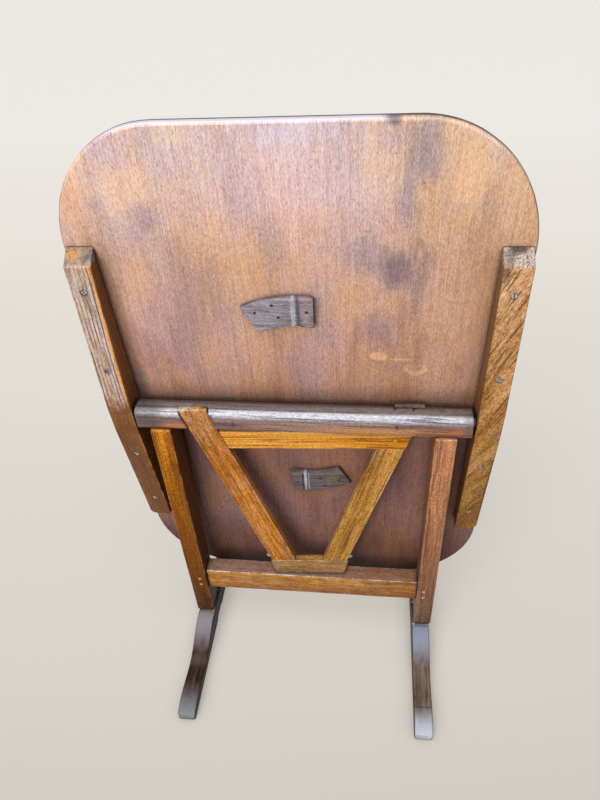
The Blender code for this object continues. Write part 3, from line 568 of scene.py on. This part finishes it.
def make_tabletop(grain, material):
    """The panel with a finely rounded rim that wear has eased here and there."""
    work = bmesh.new()
    layer = work.verts.layers.float.new("wear")
    rings = []
    for inset, depth, worn in rim_rows():
        ring = []
        for v, x in corner_outline(inset):
            spot = Vector((v * RIM_EASE_SCALE, x * RIM_EASE_SCALE, depth * RIM_EASE_DEPTH_SCALE))
            ease = noise.noise(spot) * RIM_EASE * worn
            shrink = 1 - max(0.0, ease) / TOP_HALF_WIDTH
            vertex = work.verts.new((v * shrink, x * shrink, depth))
            vertex[layer] = worn
            ring.append(vertex)
        rings.append(ring)
    count = len(rings[0])
    for first, second in zip(rings, rings[1:]):
        for index in range(count):
            after = (index + 1) % count
            work.faces.new((first[index], first[after], second[after], second[index]))
    work.faces.new(rings[0][::-1])
    work.faces.new(rings[-1])
    bmesh.ops.recalc_face_normals(work, faces=work.faces)
    settle(work, "tabletop_panel", grain, "top", ["tabletop"], material)


# Colours of the panel from its lower to its upper end, with a near-black painted shadow at the lower edge, painted
# shade below the crossbar and a painted sheen towards the upper end; then of its clouds, specks, rim and show face
PANEL_LOW = -0.57
PANEL_HIGH = 0.525
PANEL_TONES = (
    (0.000, (40, 24, 18)),
    (0.035, (122, 84, 70)),
    (0.20, (166, 126, 112)),
    (0.44, (160, 114, 95)),
    (0.535, (191, 146, 128)),
    (0.63, (207, 162, 143)),
    (0.80, (214, 177, 156)),
    (0.98, (227, 204, 190)),
)
PANEL_HUES = ((0.0, (236, 236, 252)), (0.5, (255, 250, 242)), (1.0, (255, 243, 208)))
PANEL_DIMMING = (196, 176, 184)
PANEL_GREYS = (96, 214)
PANEL_SPECKS = (104, 72, 62)
# Painted shade on the rim's sides and a painted highlight on its upper edge
DARK_RIM = (70, 44, 36)
PALE_EDGE = (214, 202, 210)
SHOW_EDGE = (58, 42, 40)
SHOW_TONES = ((0.34, (98, 50, 30)), (0.5, (140, 80, 50)), (0.66, (172, 110, 72)))

# Noise scales of the panel's grain, clouds and figure, and where two of them are taken from
PANEL_LINE_SCALE = (10.0, 380.0, 40.0)
PANEL_SHORT_SCALE = (190.0, 800.0, 130.0)
PANEL_SPECK_SCALE = (190.0, 330.0, 60.0)
PANEL_CLOUD_SCALE = (4.5, 8.0, 4.0)
PANEL_DIM_SCALE = (4.0, 13.0, 5.0)
PANEL_DIM_SHIFT = (3.1, 1.7, 0.4)
PANEL_RIM_PATCH_SCALE = (60.0, 60.0, 60.0)
SHOW_FIGURE_SCALE = (1.6, 15.0, 4.0)
SHOW_FIGURE_SHIFT = (0.7, 2.3, 1.9)

# Marks on the panel: centre and reach in (v, x), colour and strength
PANEL_MARKS = (
    ((0.440, -0.250), (0.090, 0.090), (240, 204, 172), 0.60),
    ((0.480, 0.192), (0.075, 0.034), (172, 146, 158), 0.70),
    ((0.405, 0.173), (0.070, 0.026), (170, 142, 152), 0.65),
    ((0.500, 0.150), (0.030, 0.030), (190, 160, 160), 0.50),
    ((0.300, 0.172), (0.064, 0.054), (142, 112, 118), 0.90),
    ((0.328, 0.118), (0.050, 0.040), (170, 138, 142), 0.60),
    ((0.350, 0.060), (0.050, 0.040), (190, 156, 154), 0.45),
    ((0.167, 0.137), (0.070, 0.050), (158, 122, 124), 0.65),
    ((0.250, 0.255), (0.120, 0.050), (216, 172, 146), 0.55),
    ((0.445, 0.262), (0.070, 0.045), (240, 198, 150), 0.65),
    ((0.485, -0.262), (0.034, 0.055), (206, 182, 194), 0.60),
    ((0.452, -0.290), (0.030, 0.026), (196, 168, 178), 0.50),
    ((0.382, -0.223), (0.034, 0.032), (176, 142, 150), 0.65),
    ((0.400, -0.330), (0.060, 0.040), (226, 180, 140), 0.60),
    ((0.430, 0.010), (0.130, 0.170), (228, 200, 200), 0.55),
    ((0.508, 0.000), (0.028, 0.110), (222, 204, 214), 0.60),
    ((0.330, -0.030), (0.090, 0.030), (184, 148, 150), 0.50),
    ((0.240, -0.160), (0.120, 0.080), (178, 138, 126), 0.65),
    ((0.110, -0.260), (0.070, 0.060), (172, 124, 112), 0.50),
    ((0.056, -0.305), (0.030, 0.016), (150, 140, 128), 0.50),
    ((-0.180, -0.080), (0.070, 0.040), (152, 112, 84), 0.55),
    ((-0.300, 0.100), (0.120, 0.060), (132, 96, 92), 0.50),
    ((-0.420, -0.090), (0.080, 0.070), (122, 84, 76), 0.50),
    # Painted shadow on the lower left corner
    ((-0.490, -0.330), (0.090, 0.090), (66, 42, 34), 0.60),
)
MARK_RIM = dict(ragged=0.75, grain=(16.0, 42.0, 16.0), core=0.1)

# Places on the panel where the varnish has chipped off, written as the marks are
PANEL_CHIPS = (
    ((0.121, 0.140), (0.0105, 0.0200), (228, 182, 132), 0.90),
    ((0.114, 0.182), (0.0030, 0.0280), (226, 180, 134), 0.65),
    ((0.095, 0.196), (0.0100, 0.0120), (222, 176, 132), 0.65),
    ((0.092, 0.209), (0.0150, 0.0240), (224, 178, 134), 0.70),
    ((0.095, 0.206), (0.0100, 0.0170), (186, 138, 112), 0.80),
)
CHIP_RIM = dict(ragged=0.5, grain=(75.0, 60.0, 16.0), core=0.7)

# A nick in the panel's upper edge, written as the marks are
PANEL_NICKS = (((0.522, 0.150), (0.012, 0.016), (96, 84, 96), 0.85),)
NICK_RIM = dict(ragged=0.5, core=0.2)

# Where the panel's looks change: start and end along its height, its width or its depth
VARNISH_HEIGHT = (-0.30, 0.10)
WARM_HEIGHT = (-0.05, 0.08)
WARM_WIDTH = (-0.05, 0.34)
# Where the painted rim shade and the painted rim highlight lie
DARK_RIM_HEIGHT = (0.480, 0.400)
DARK_RIM_DEPTH = (0.0405, 0.0465)
PALE_EDGE_HEIGHT = (0.500, 0.518)
PALE_EDGE_WIDTH = (0.165, 0.115)
SHOW_EDGE_DEPTH = (0.0460, 0.0490)
SHOW_DEPTH = (0.0500, 0.0545)

# Shade on the panel under the frame and in its gaps: reach, share and colour
PANEL_SHADES = ((0.040, 0.68, (48, 28, 20)), (0.006, 0.85, (34, 20, 15)))

# Varnish of the panel
VARNISH_COAT = (0.03, 0.35)
VARNISH_GLOSS = (0.12, 0.5)
VARNISH_COAT_ROUGHNESS = 0.32
VARNISH_ROUGHNESS = (0.4, 0.55)
VARNISH_DEPTH = 0.0003
VARNISH_RELIEF = 0.5


def panel_ground(paint):
    """A painted sheen above the crossbar and painted shade below it, with warm, cool and dim clouds."""
    height = paint.span(paint.coordinate(0), PANEL_LOW, PANEL_HIGH, kind="LINEAR")
    # Painted shadow at the lower edge, painted shade below the crossbar and a painted sheen above it
    paint.colour = paint.ramp(height, PANEL_TONES)
    cloud = paint.noise(paint.place, PANEL_CLOUD_SCALE, detail=5.0, roughness=0.62)
    right = paint.span(paint.coordinate(1), *WARM_WIDTH, -0.04, 0.13)
    right = paint.times(right, paint.span(paint.coordinate(0), *WARM_HEIGHT))
    warm = paint.span(paint.plus(cloud, right), 0.36, 0.68)
    paint.tint(paint.ramp(warm, PANEL_HUES))
    away = paint.vector("ADD", paint.place, PANEL_DIM_SHIFT)
    deep = paint.noise(away, PANEL_DIM_SCALE, detail=5.0, roughness=0.62)
    dimmed = paint.mix(1.0, paint.colour, tone(*PANEL_DIMMING), "MULTIPLY")
    paint.colour = paint.mix(paint.span(deep, 0.44, 0.74, 0.0, 0.6), paint.colour, dimmed)


def panel_stains(paint, stains, rim):
    """Marks that go through the panel's whole depth."""
    for centre, reach, colour, strength in stains:
        paint.stain((*centre, 0.0), (*reach, 0.0), colour, strength, **rim)


def panel_rim(paint):
    """Painted shade on the side of the rim, a painted highlight on its pale upper edge, and the nick in it."""
    rim = paint.edge()
    rim_patches = paint.noise(paint.place, PANEL_RIM_PATCH_SCALE, detail=4.0)
    # Painted shade on the far half of the rim and on its sides
    side = paint.times(paint.span(rim, 0.35, 0.9), paint.span(rim_patches, 0.3, 0.6, 0.6, 0.95))
    far_half = paint.span(paint.coordinate(2), *DARK_RIM_DEPTH)
    below = paint.span(paint.coordinate(0), *DARK_RIM_HEIGHT)
    paint.cover(paint.times(side, paint.combine("MAXIMUM", far_half, below)), DARK_RIM)
    # A painted highlight along the upper rim
    high = paint.span(paint.coordinate(0), *PALE_EDGE_HEIGHT, 0.0, 0.9)
    upper = paint.times(paint.span(rim, 0.5, 0.95), high)
    upper = paint.times(upper, paint.span(paint.coordinate(1), *PALE_EDGE_WIDTH))
    paint.cover(upper, PALE_EDGE)
    panel_stains(paint, PANEL_NICKS, NICK_RIM)


def panel_show_face(paint, lines):
    """The figured show face, and its dark edge."""
    away = paint.vector("ADD", paint.place, SHOW_FIGURE_SHIFT)
    figure = paint.noise(away, SHOW_FIGURE_SCALE, detail=4.0, distortion=0.8)
    figure = paint.plus(paint.times(figure, 0.7), paint.times(lines, 0.3))
    show = paint.ramp(figure, SHOW_TONES)
    paint.colour = paint.mix(paint.span(paint.coordinate(2), *SHOW_DEPTH), paint.colour, show)
    deep = paint.span(paint.coordinate(2), *SHOW_EDGE_DEPTH, 0.0, 0.95)
    paint.cover(paint.times(deep, paint.span(paint.edge(), 0.1, 0.6)), SHOW_EDGE)


def panel_paint():
    """Satin varnish over reddish wood, with more coat and a painted sheen towards the upper end."""
    paint = Paint("varnished_panel")
    lines = paint.noise(paint.place, PANEL_LINE_SCALE, detail=3.0, roughness=0.65)
    short = paint.noise(paint.place, PANEL_SHORT_SCALE, roughness=0.6)
    specks = paint.noise(paint.place, PANEL_SPECK_SCALE)
    panel_ground(paint)
    panel_stains(paint, PANEL_MARKS, MARK_RIM)
    panel_stains(paint, PANEL_CHIPS, CHIP_RIM)
    paint.roughen(0.26, lines, *NOISE_RANGE, *PANEL_GREYS)
    paint.roughen(0.50, short, *NOISE_RANGE, *PANEL_GREYS)
    paint.cover(paint.span(specks, 0.65, 0.74, 0.0, 0.75), PANEL_SPECKS)
    panel_rim(paint)
    panel_show_face(paint, lines)
    for reach, share, colour in PANEL_SHADES:
        paint.cover(paint.times(paint.crease(reach), share), colour)
    coat = paint.span(paint.coordinate(0), *VARNISH_HEIGHT, *VARNISH_COAT)
    gloss = paint.span(paint.coordinate(0), *VARNISH_HEIGHT, *VARNISH_GLOSS)
    paint.set(base_color=paint.colour, specular_ior_level=gloss)
    paint.set(coat_weight=coat, coat_roughness=VARNISH_COAT_ROUGHNESS)
    paint.set(roughness=paint.span(short, *NOISE_RANGE, *VARNISH_ROUGHNESS))
    paint.bump(paint.plus(lines, paint.times(short, 0.6)), VARNISH_DEPTH, VARNISH_RELIEF)
    return paint.material


# Metal and pegs
steel = metal("dull_steel", (214, 212, 216), 0.38, 0.6)
iron = metal("dark_iron", (64, 62, 86), 0.5, 0.5)
peg_wood = wood("peg_wood", ((170, 124, 80), (206, 160, 112), (226, 188, 146)), 9.1)

# Feet: painted sky highlights on the toes and middles, painted shade on the sides
FOOT_SIDE = 0.0205
FOOT_SIDE_REACH = 0.0034
FOOT_MIDDLE = -0.052


def foot_bands(place, reach, colour, strength):
    """The same band across both ends of a foot."""
    return [((sign * place, 0.0, 0.0), (reach, 0.0, 0.0), colour, strength) for sign in (-1, 1)]


# Painted shade on both sides of a foot
foot_side_shade = [
    ((0.0, 0.0, sign * FOOT_SIDE), (0.0, 0.0, FOOT_SIDE_REACH), (30, 22, 14), 0.97) for sign in (-1, 1)
]
foot_looks = dict(
    rough=0.4, gloss=0.08, grit=0.12, relief=0.3, streak=0.9, worn=(120, 108, 98), worn_share=0.4,
    mark_ragged=0.22, mark_core=0.05,
    patches=(((14.0, 40.0, 40.0), 2.0, 0.5, 0.7, (84, 50, 36), 0.6),),
)
left_foot_wood = wood(
    "left_foot_wood", ((34, 20, 14), (62, 42, 33), (92, 68, 56)), 3.3, **foot_looks,
    marks=[
        # Painted sky highlights on the front shoulder and the toes
        ((FOOT_MIDDLE, 0.0, 0.0), (0.082, 0.0, 0.0), (143, 137, 141), 0.92),
        *foot_bands(0.280, 0.092, (123, 126, 126), 0.93),
        *foot_bands(0.145, 0.022, (98, 80, 70), 0.5),
        *foot_bands(0.030, 0.003, (176, 160, 140), 0.7),
        *foot_side_shade,
    ],
)
right_foot_wood = wood(
    "right_foot_wood", ((60, 43, 34), (93, 75, 62), (126, 104, 89)), 6.9, **foot_looks,
    marks=[
        # Painted sky highlights on the front shoulder and the toes
        ((FOOT_MIDDLE, 0.0, 0.0), (0.078, 0.0, 0.0), (144, 150, 168), 0.92),
        *foot_bands(0.278, 0.078, (186, 190, 198), 0.96),
        *foot_bands(0.2165, 0.003, (54, 44, 42), 0.6),
        *foot_bands(0.030, 0.003, (214, 208, 200), 0.8),
        *foot_side_shade,
    ],
)

# Crossbar: a painted highlight along its front upper edge, painted shade behind, worn to bare wood below
FRONT_EDGE = (0, -0.707, 0.707)
bar_wood = wood(
    "crossbar_wood", ((98, 72, 64), (142, 110, 100), (176, 144, 134)), 5.2,
    rough=0.38, coat=0.5, grit=0.35, relief=0.3, streak=0.8, fray=(7.0, 150.0, 150.0),
    veins=0.8, vein_tone=(78, 62, 60), vein_scale=(7.0, 260.0, 260.0),
    worn=(176, 168, 166), worn_share=0.3,
    zones=(
        # Painted highlight along the rounded front upper edge
        (FRONT_EDGE, 0.4940, 0.5010, (140, 126, 128), 0.6),
        (FRONT_EDGE, 0.4996, 0.5050, (202, 204, 212), 0.74),
        (ACROSS, -0.0145, -0.0080, (114, 106, 101), 0.95),
        # Painted shade on the back of the top, under the leaning panel
        (ACROSS, 0.000, 0.012, (60, 42, 36), 0.9),
    ),
    marks=(
        ((-0.232, 0.0, 0.666), (0.060, 0.0, 0.010), (186, 120, 66), 0.8),
        ((0.262, 0.0, 0.664), (0.080, 0.0, 0.020), (186, 110, 50), 0.9),
        ((0.130, 0.0, 0.667), (0.160, 0.0, 0.010), (200, 142, 80), 0.8),
        ((0.000, 0.0, 0.669), (0.120, 0.0, 0.008), (172, 128, 98), 0.7),
        ((-0.306, 0.0, 0.0), (0.060, 0.0, 0.0), (82, 72, 72), 0.75),
        ((0.312, 0.0, 0.0), (0.022, 0.0, 0.0), (96, 80, 74), 0.45),
        ((-0.125, 0.0, 0.672), (0.0016, 0.0, 0.013), (44, 32, 30), 0.95),
        ((0.1775, 0.0, 0.678), (0.004, 0.0, 0.008), (54, 44, 48), 0.9),
    ),
)

# Uprights: painted shade towards the feet and on their inner faces
UPRIGHT_SHADE = (0.05, 0.66)
UPRIGHT_INSIDE = extent("right_upright", upright_grain, 1)[0]
INSIDE_START = UPRIGHT_INSIDE + 0.0022
INSIDE_END = UPRIGHT_INSIDE + 0.0008
left_upright_wood = wood(
    "left_upright_wood", ((116, 58, 4), (174, 100, 16), (214, 142, 46)), 1.2,
    veins=0.6, vein_tone=(92, 44, 10), worn=(204, 160, 100), worn_share=0.6, grit=0.5, gloss=0.1,
    # Painted shade towards the foot and on the inner face
    along=(*UPRIGHT_SHADE, ((0.0, (132, 114, 88)), (0.5, (186, 176, 136)), (1.0, (255, 255, 225)))),
    zones=((ACROSS, -INSIDE_START, -INSIDE_END, (92, 48, 18), 0.85),),
    marks=(
        ((0.094, -0.262, 0.0), (0.040, 0.05, 0.0), (70, 44, 30), 0.6),
        ((0.633, -0.252, 0.0), (0.020, 0.010, 0.0), (150, 72, 40), 0.6),
    ),
)
right_upright_wood = wood(
    "right_upright_wood", ((146, 84, 48), (202, 136, 92), (232, 176, 130)), 2.6,
    veins=0.7, vein_tone=(120, 66, 44), worn=(216, 184, 152), worn_share=0.45, grit=0.45,
    # Painted shade towards the foot and on the inner face
    along=(*UPRIGHT_SHADE, ((0.0, (152, 176, 205)), (0.5, (230, 231, 230)), (1.0, (252, 252, 252)))),
    zones=((ACROSS, INSIDE_START, INSIDE_END, (116, 70, 42), 0.75),),
)

# Stretcher: greyer and darker on top, a painted shade under the gate and panel
STRETCHER_TOP = extent("stretcher", bar_grain, 2)[1]
stretcher_wood = wood(
    "stretcher_wood", ((140, 78, 14), (192, 128, 40), (224, 170, 82)), 4.4,
    veins=0.5, vein_tone=(124, 62, 20), grit=0.4, worn=(236, 220, 200), worn_share=0.9,
    patches=(((26.0, 60.0, 60.0), 2.0, 0.52, 0.68, (140, 72, 36), 0.7),),
    # Painted shade on the top face
    zones=((OUT, STRETCHER_TOP - 0.0026, STRETCHER_TOP - 0.0002, (136, 105, 90), 0.92),),
    marks=(
        ((0.190, 0.0, 0.150), (0.10, 0.0, 0.0), (128, 74, 26), 0.4),
        ((0.233, 0.0, 0.150), (0.02, 0.0, 0.012), (150, 84, 56), 0.6),
        ((0.046, 0.0, 0.145), (0.05, 0.0, 0.006), (110, 66, 30), 0.6),
    ),
)

# Gate: the diagonals' heads are pale on the left and dark on the right
LEFT_HEAD = extent("gate_left_diagonal", gate_grain("gate_left_diagonal"), 0)[1]
gate_wood = {
    "gate_left_diagonal": wood(
        "left_diagonal_wood", ((128, 62, 8), (194, 112, 24), (226, 154, 58)), 6.1,
        veins=0.75, vein_tone=(104, 54, 18), vein_scale=(3.0, 260.0, 260.0),
        worn=(230, 206, 168), worn_share=0.95, grit=0.55, gloss=0.12,
        zones=(
            (ALONG, 0.60, 0.70, (192, 142, 92), 0.5),
            (ALONG, LEFT_HEAD - 0.009, LEFT_HEAD - 0.004, (196, 182, 162), 0.9),
        ),
    ),
    "gate_right_diagonal": wood(
        "right_diagonal_wood", ((134, 80, 16), (190, 130, 42), (218, 165, 90)), 7.7,
        veins=0.8, vein_tone=(112, 60, 12), worn=(222, 196, 152), worn_share=0.8, grit=0.6,
        zones=((ALONG, 0.700, 0.706, (84, 78, 70), 0.95),),
    ),
    "gate_top_rail": wood(
        "top_rail_wood", ((176, 98, 10), (226, 150, 40), (246, 192, 96)), 8.3,
        veins=0.8, vein_tone=(150, 76, 14), worn=(240, 200, 130), worn_share=0.7, grit=0.5,
    ),
    "gate_bottom_rail": wood(
        "bottom_rail_wood", ((120, 76, 27), (170, 120, 60), (198, 155, 97)), 8.9,
        veins=0.5, worn=(226, 206, 176), worn_share=0.9, grit=0.5,
        zones=((OUT, 0.222, 0.206, (140, 102, 76), 0.85),),
    ),
}

# Battens: stained round their screws, painted shade on their inner side faces, grey at their upper ends
SCREWS = 4
SCREW_RING = 0.0085
BATTEN_INSIDE = extent("right_batten", top_grain, 1)[0]
BATTEN_END = (0.3150, 0.3185)


def screw_rings(side):
    """Dark stains round the screws of a batten."""
    rings = []
    for number in range(1, SCREWS + 1):
        place = top_grain.inverted() @ mean(node_points(f"{side}_batten_screw_{number}"))
        rings.append(((place.x, place.y, 0.0), (SCREW_RING, SCREW_RING, 0.0), (58, 42, 34), 0.85))
    return rings


left_batten_wood = wood(
    "left_batten_wood", ((156, 128, 110), (200, 178, 166), (226, 208, 198)), 10.4,
    wave=0.004, figure=0.3, streak=0.4, grit=0.35, worn=(226, 168, 104), worn_share=0.95,
    veins=0.55, vein_tone=(92, 58, 32), vein_scale=(1.4, 205.0, 205.0),
    rings=((1.6, 46.0, 46.0), 2.2, (96, 62, 42), 0.95),
    patches=(((5.0, 20.0, 20.0), 4.0, 0.5, 0.66, (190, 148, 110), 0.6),),
    zones=(
        (ACROSS, -BATTEN_INSIDE - 0.0082, -BATTEN_INSIDE - 0.0042, (224, 156, 88), 0.85),
        (ALONG, 0.070, 0.010, (112, 60, 0), 0.93),
        # Painted shade on the inner side face
        (ACROSS, -BATTEN_INSIDE - 0.0022, -BATTEN_INSIDE - 0.0008, (112, 64, 22), 0.92),
        (ALONG, *BATTEN_END, (122, 113, 107), 0.9),
    ),
    marks=[
        ((0.331, -0.328, 0.0), (0.014, 0.012, 0.0), (70, 80, 88), 0.95),
        ((0.328, -0.352, 0.0), (0.010, 0.013, 0.0), (186, 128, 72), 0.9),
        *screw_rings("left"),
    ],
)
right_batten_wood = wood(
    "right_batten_wood", ((152, 104, 60), (212, 164, 116), (238, 202, 162)), 11.9,
    slant=-0.45, wave=0.003, grit=0.55, worn=(104, 72, 42), worn_share=0.7,
    veins=0.8, vein_tone=(116, 70, 26),
    patches=(((7.0, 22.0, 22.0), 1.0, 0.5, 0.68, (182, 132, 44), 0.6),),
    along=(-0.34, 0.34, ((0.0, (196, 176, 96)), (0.5, (230, 210, 168)), (1.0, (255, 255, 255)))),
    zones=(
        # Painted shade on the inner side face
        (ACROSS, BATTEN_INSIDE + 0.0022, BATTEN_INSIDE + 0.0006, (112, 72, 38), 0.9),
        (ALONG, *BATTEN_END, (180, 166, 154), 0.9),
    ),
    marks=[
        # Painted shade along the lower outer edge
        ((-0.170, 0.366, 0.0), (0.190, 0.008, 0.0), (74, 52, 36), 0.85),
        ((0.306, 0.324, 0.0), (0.020, 0.010, 0.0), (134, 92, 74), 0.8),
        ((-0.017, 0.355, 0.0), (0.012, 0.010, 0.0), (150, 118, 116), 0.8),
        ((0.328, 0.330, 0.0), (0.012, 0.010, 0.0), (100, 98, 98), 0.8),
        ((0.3345, 0.342, 0.0), (0.008, 0.018, 0.0), (42, 44, 48), 0.95),
        *screw_rings("right"),
    ],
)

# Catches: pale across the notch's rim, with painted shade on the front catch's notch wall
catch_looks = dict(
    veins=0.4, vein_tone=(84, 72, 78), vein_scale=(8.0, 260.0, 260.0),
    worn=(206, 204, 212), worn_share=0.9, rough=0.5, wave=0.002, grit=0.3,
)
front_catch_wood = wood(
    "front_catch_wood", ((94, 83, 85), (138, 127, 132), (174, 165, 170)), 12.5, **catch_looks,
    marks=(
        ((0.019, 0.219, 0.0), (0.012, 0.05, 0.0), (168, 140, 140), 0.7),
        ((-0.003, 0.219, 0.0), (0.0042, 0.06, 0.0), (206, 208, 214), 0.85),
        # Painted shade on the notch's wall
        ((0.0052, 0.219, 0.0), (0.0040, 0.06, 0.0), (80, 74, 82), 0.8),
    ),
)
rear_catch_wood = wood(
    "rear_catch_wood", ((70, 61, 60), (110, 97, 96), (144, 131, 130)), 13.5, **catch_looks,
    marks=(
        ((-0.053, 0.210, 0.0), (0.020, 0.014, 0.0), (134, 118, 84), 0.7),
        ((0.0035, 0.207, 0.0), (0.0042, 0.06, 0.0), (206, 208, 214), 0.85),
    ),
)

# Wooden pieces of the base
base_wood = {"left": (left_upright_wood, left_foot_wood), "right": (right_upright_wood, right_foot_wood)}
for side, (upright_wood, foot_wood) in base_wood.items():
    dress(f"{side}_upright", upright_grain, "base", upright_wood)
    dress(f"{side}_foot", foot_grain(f"{side}_foot"), "base", foot_wood, step=None)
dress("stretcher", bar_grain, "base", stretcher_wood)
dress("crossbar", bar_grain, "base", bar_wood)

# Wooden pieces of the gate
for node, material in gate_wood.items():
    dress(node, gate_grain(node), "gate", material)

# Wooden pieces of the top
make_tabletop(top_grain, panel_paint())
dress("left_batten", top_grain, "top", left_batten_wood)
dress("right_batten", top_grain, "top", right_batten_wood)
for node, material, sign in (("front_catch", front_catch_wood, 1), ("rear_catch", rear_catch_wood, -1)):
    dress(node, catch_grain(sign), "top", material,
          step=CATCH_CUT_LENGTH, across=CATCH_CUT_LENGTH)

# Pieces that keep their CAD shape, by a word in their names
kept = {"pin": peg_wood, "peg": peg_wood, "screw": steel, "bolt": steel, "nail": iron, "pivot": iron}
for node, item in frame["nodes"].items():
    if not item.hide_render:
        word = next(word for word in kept if word in node.split("_"))
        finish_mesh(item.data, kept[word])

# Floor, paler into the distance
FLOOR_REACH = 30.0
FLOOR_HEIGHT = -0.0003
FLOOR_FADE = (-0.5, 4.0)
FLOOR_TONES = (
    (0.0, (203, 196, 187)),
    (0.07, (214, 207, 198)),
    (0.31, (235, 229, 219)),
    (0.75, (240, 235, 228)),
    (1.0, (244, 240, 234)),
)
FLOOR_BOUNCE = (104, 96, 88)
# Colour, reach and share of a painted contact shadow
FLOOR_CONTACT = (134, 125, 116)
FLOOR_CONTACT_REACH = 0.045
FLOOR_CONTACT_SHARE = 0.45
FLOOR_GLOW_FADE = (0.3, 2.5)
FLOOR_GLOW = (0.60, 0.9)


def floor_paint():
    """A pale floor that partly glows where it is seen, throws back a darker light and has a painted contact shadow
    round the table.
    """
    paint = Paint("pale_floor")
    paint.colour = paint.ramp(paint.span(paint.coordinate(1), *FLOOR_FADE, kind="LINEAR"), FLOOR_TONES)
    # Painted contact shadow round the table's feet and base
    paint.cover(paint.times(paint.crease(FLOOR_CONTACT_REACH), FLOOR_CONTACT_SHARE), FLOOR_CONTACT)
    path = paint.add("ShaderNodeLightPath").outputs
    seen = paint.plus(path["Is Camera Ray"], path["Is Glossy Ray"])
    seen = paint.combine("MINIMUM", paint.plus(seen, path["Is Transmission Ray"]), 1.0)
    bounce = paint.mix(seen, tone(*FLOOR_BOUNCE), paint.colour)
    lit = paint.add("ShaderNodeBsdfDiffuse", {"Color": bounce})
    glow = paint.add("ShaderNodeEmission", {"Color": paint.colour, "Strength": 1.0})
    share = paint.times(seen, paint.span(paint.coordinate(1), *FLOOR_GLOW_FADE, *FLOOR_GLOW))
    both = paint.add("ShaderNodeMixShader", {0: share, 1: lit.outputs[0], 2: glow.outputs[0]})
    paint.put(paint.tree.nodes["Material Output"].inputs["Surface"], both.outputs[0])
    return paint.material


floor_mesh = bpy.data.meshes.new("floor")
floor_signs = ((-1, -1), (1, -1), (1, 1), (-1, 1))
floor_corners = [(x * FLOOR_REACH, y * FLOOR_REACH, FLOOR_HEIGHT) for x, y in floor_signs]
floor_mesh.from_pydata(floor_corners, [], [(0, 1, 2, 3)])
floor = bpy.data.objects.new("floor", floor_mesh)
bpy.context.scene.collection.objects.link(floor)
floor.data.materials.append(floor_paint())

# Light
SKY_COLOUR = (0.90, 0.94, 1.0, 1.0)
SKY_STRENGTH = 0.34
world = bpy.data.worlds.new("soft_sky")
world.use_nodes = True
world.node_tree.nodes["Background"].inputs["Color"].default_value = SKY_COLOUR
world.node_tree.nodes["Background"].inputs["Strength"].default_value = SKY_STRENGTH
bpy.context.scene.world = world


def lamp(name, place, target, size, power, colour):
    """A wide lamp that looks from its place at a target."""
    data = bpy.data.lights.new(name, "AREA")
    data.shape = "RECTANGLE"
    data.size, data.size_y = size
    data.energy = power
    data.color = colour
    item = bpy.data.objects.new(name, data)
    item.location = place
    item.rotation_mode = "QUATERNION"
    item.rotation_quaternion = (Vector(target) - Vector(place)).to_track_quat("-Z", "Y")
    bpy.context.scene.collection.objects.link(item)


lamp("front_sky", (-1.0, -2.7, 2.0), (0, 0, 0.65), (2.0, 1.7), 84.0, (0.97, 0.985, 1.0))
lamp("upper_sky", (0.0, -0.9, 3.3), (0, -0.1, 0.3), (2.8, 2.0), 58.0, (0.92, 0.96, 1.0))

# Camera
flat = math.cos(CAMERA_PITCH)
sight = Vector((math.sin(CAMERA_YAW) * flat, math.cos(CAMERA_YAW) * flat, -math.sin(CAMERA_PITCH)))
level = Vector((math.cos(CAMERA_YAW), -math.sin(CAMERA_YAW), 0))
down = sight.cross(level)
camera_right = level * math.cos(CAMERA_ROLL) + down * math.sin(CAMERA_ROLL)
camera_down = down * math.cos(CAMERA_ROLL) - level * math.sin(CAMERA_ROLL)
camera_turn = Matrix((camera_right, -camera_down, -sight)).transposed().to_4x4()
camera_data = bpy.data.cameras.new("photo_camera")
camera_data.lens = CAMERA_LENS
camera_data.sensor_width = CAMERA_SENSOR
camera_data.clip_end = CAMERA_CLIP_END
camera = bpy.data.objects.new("photo_camera", camera_data)
camera.matrix_world = Matrix.Translation(CAMERA_PLACE) @ camera_turn
bpy.context.scene.collection.objects.link(camera)
bpy.context.scene.camera = camera

bpy.context.scene.view_settings.view_transform = "Standard"
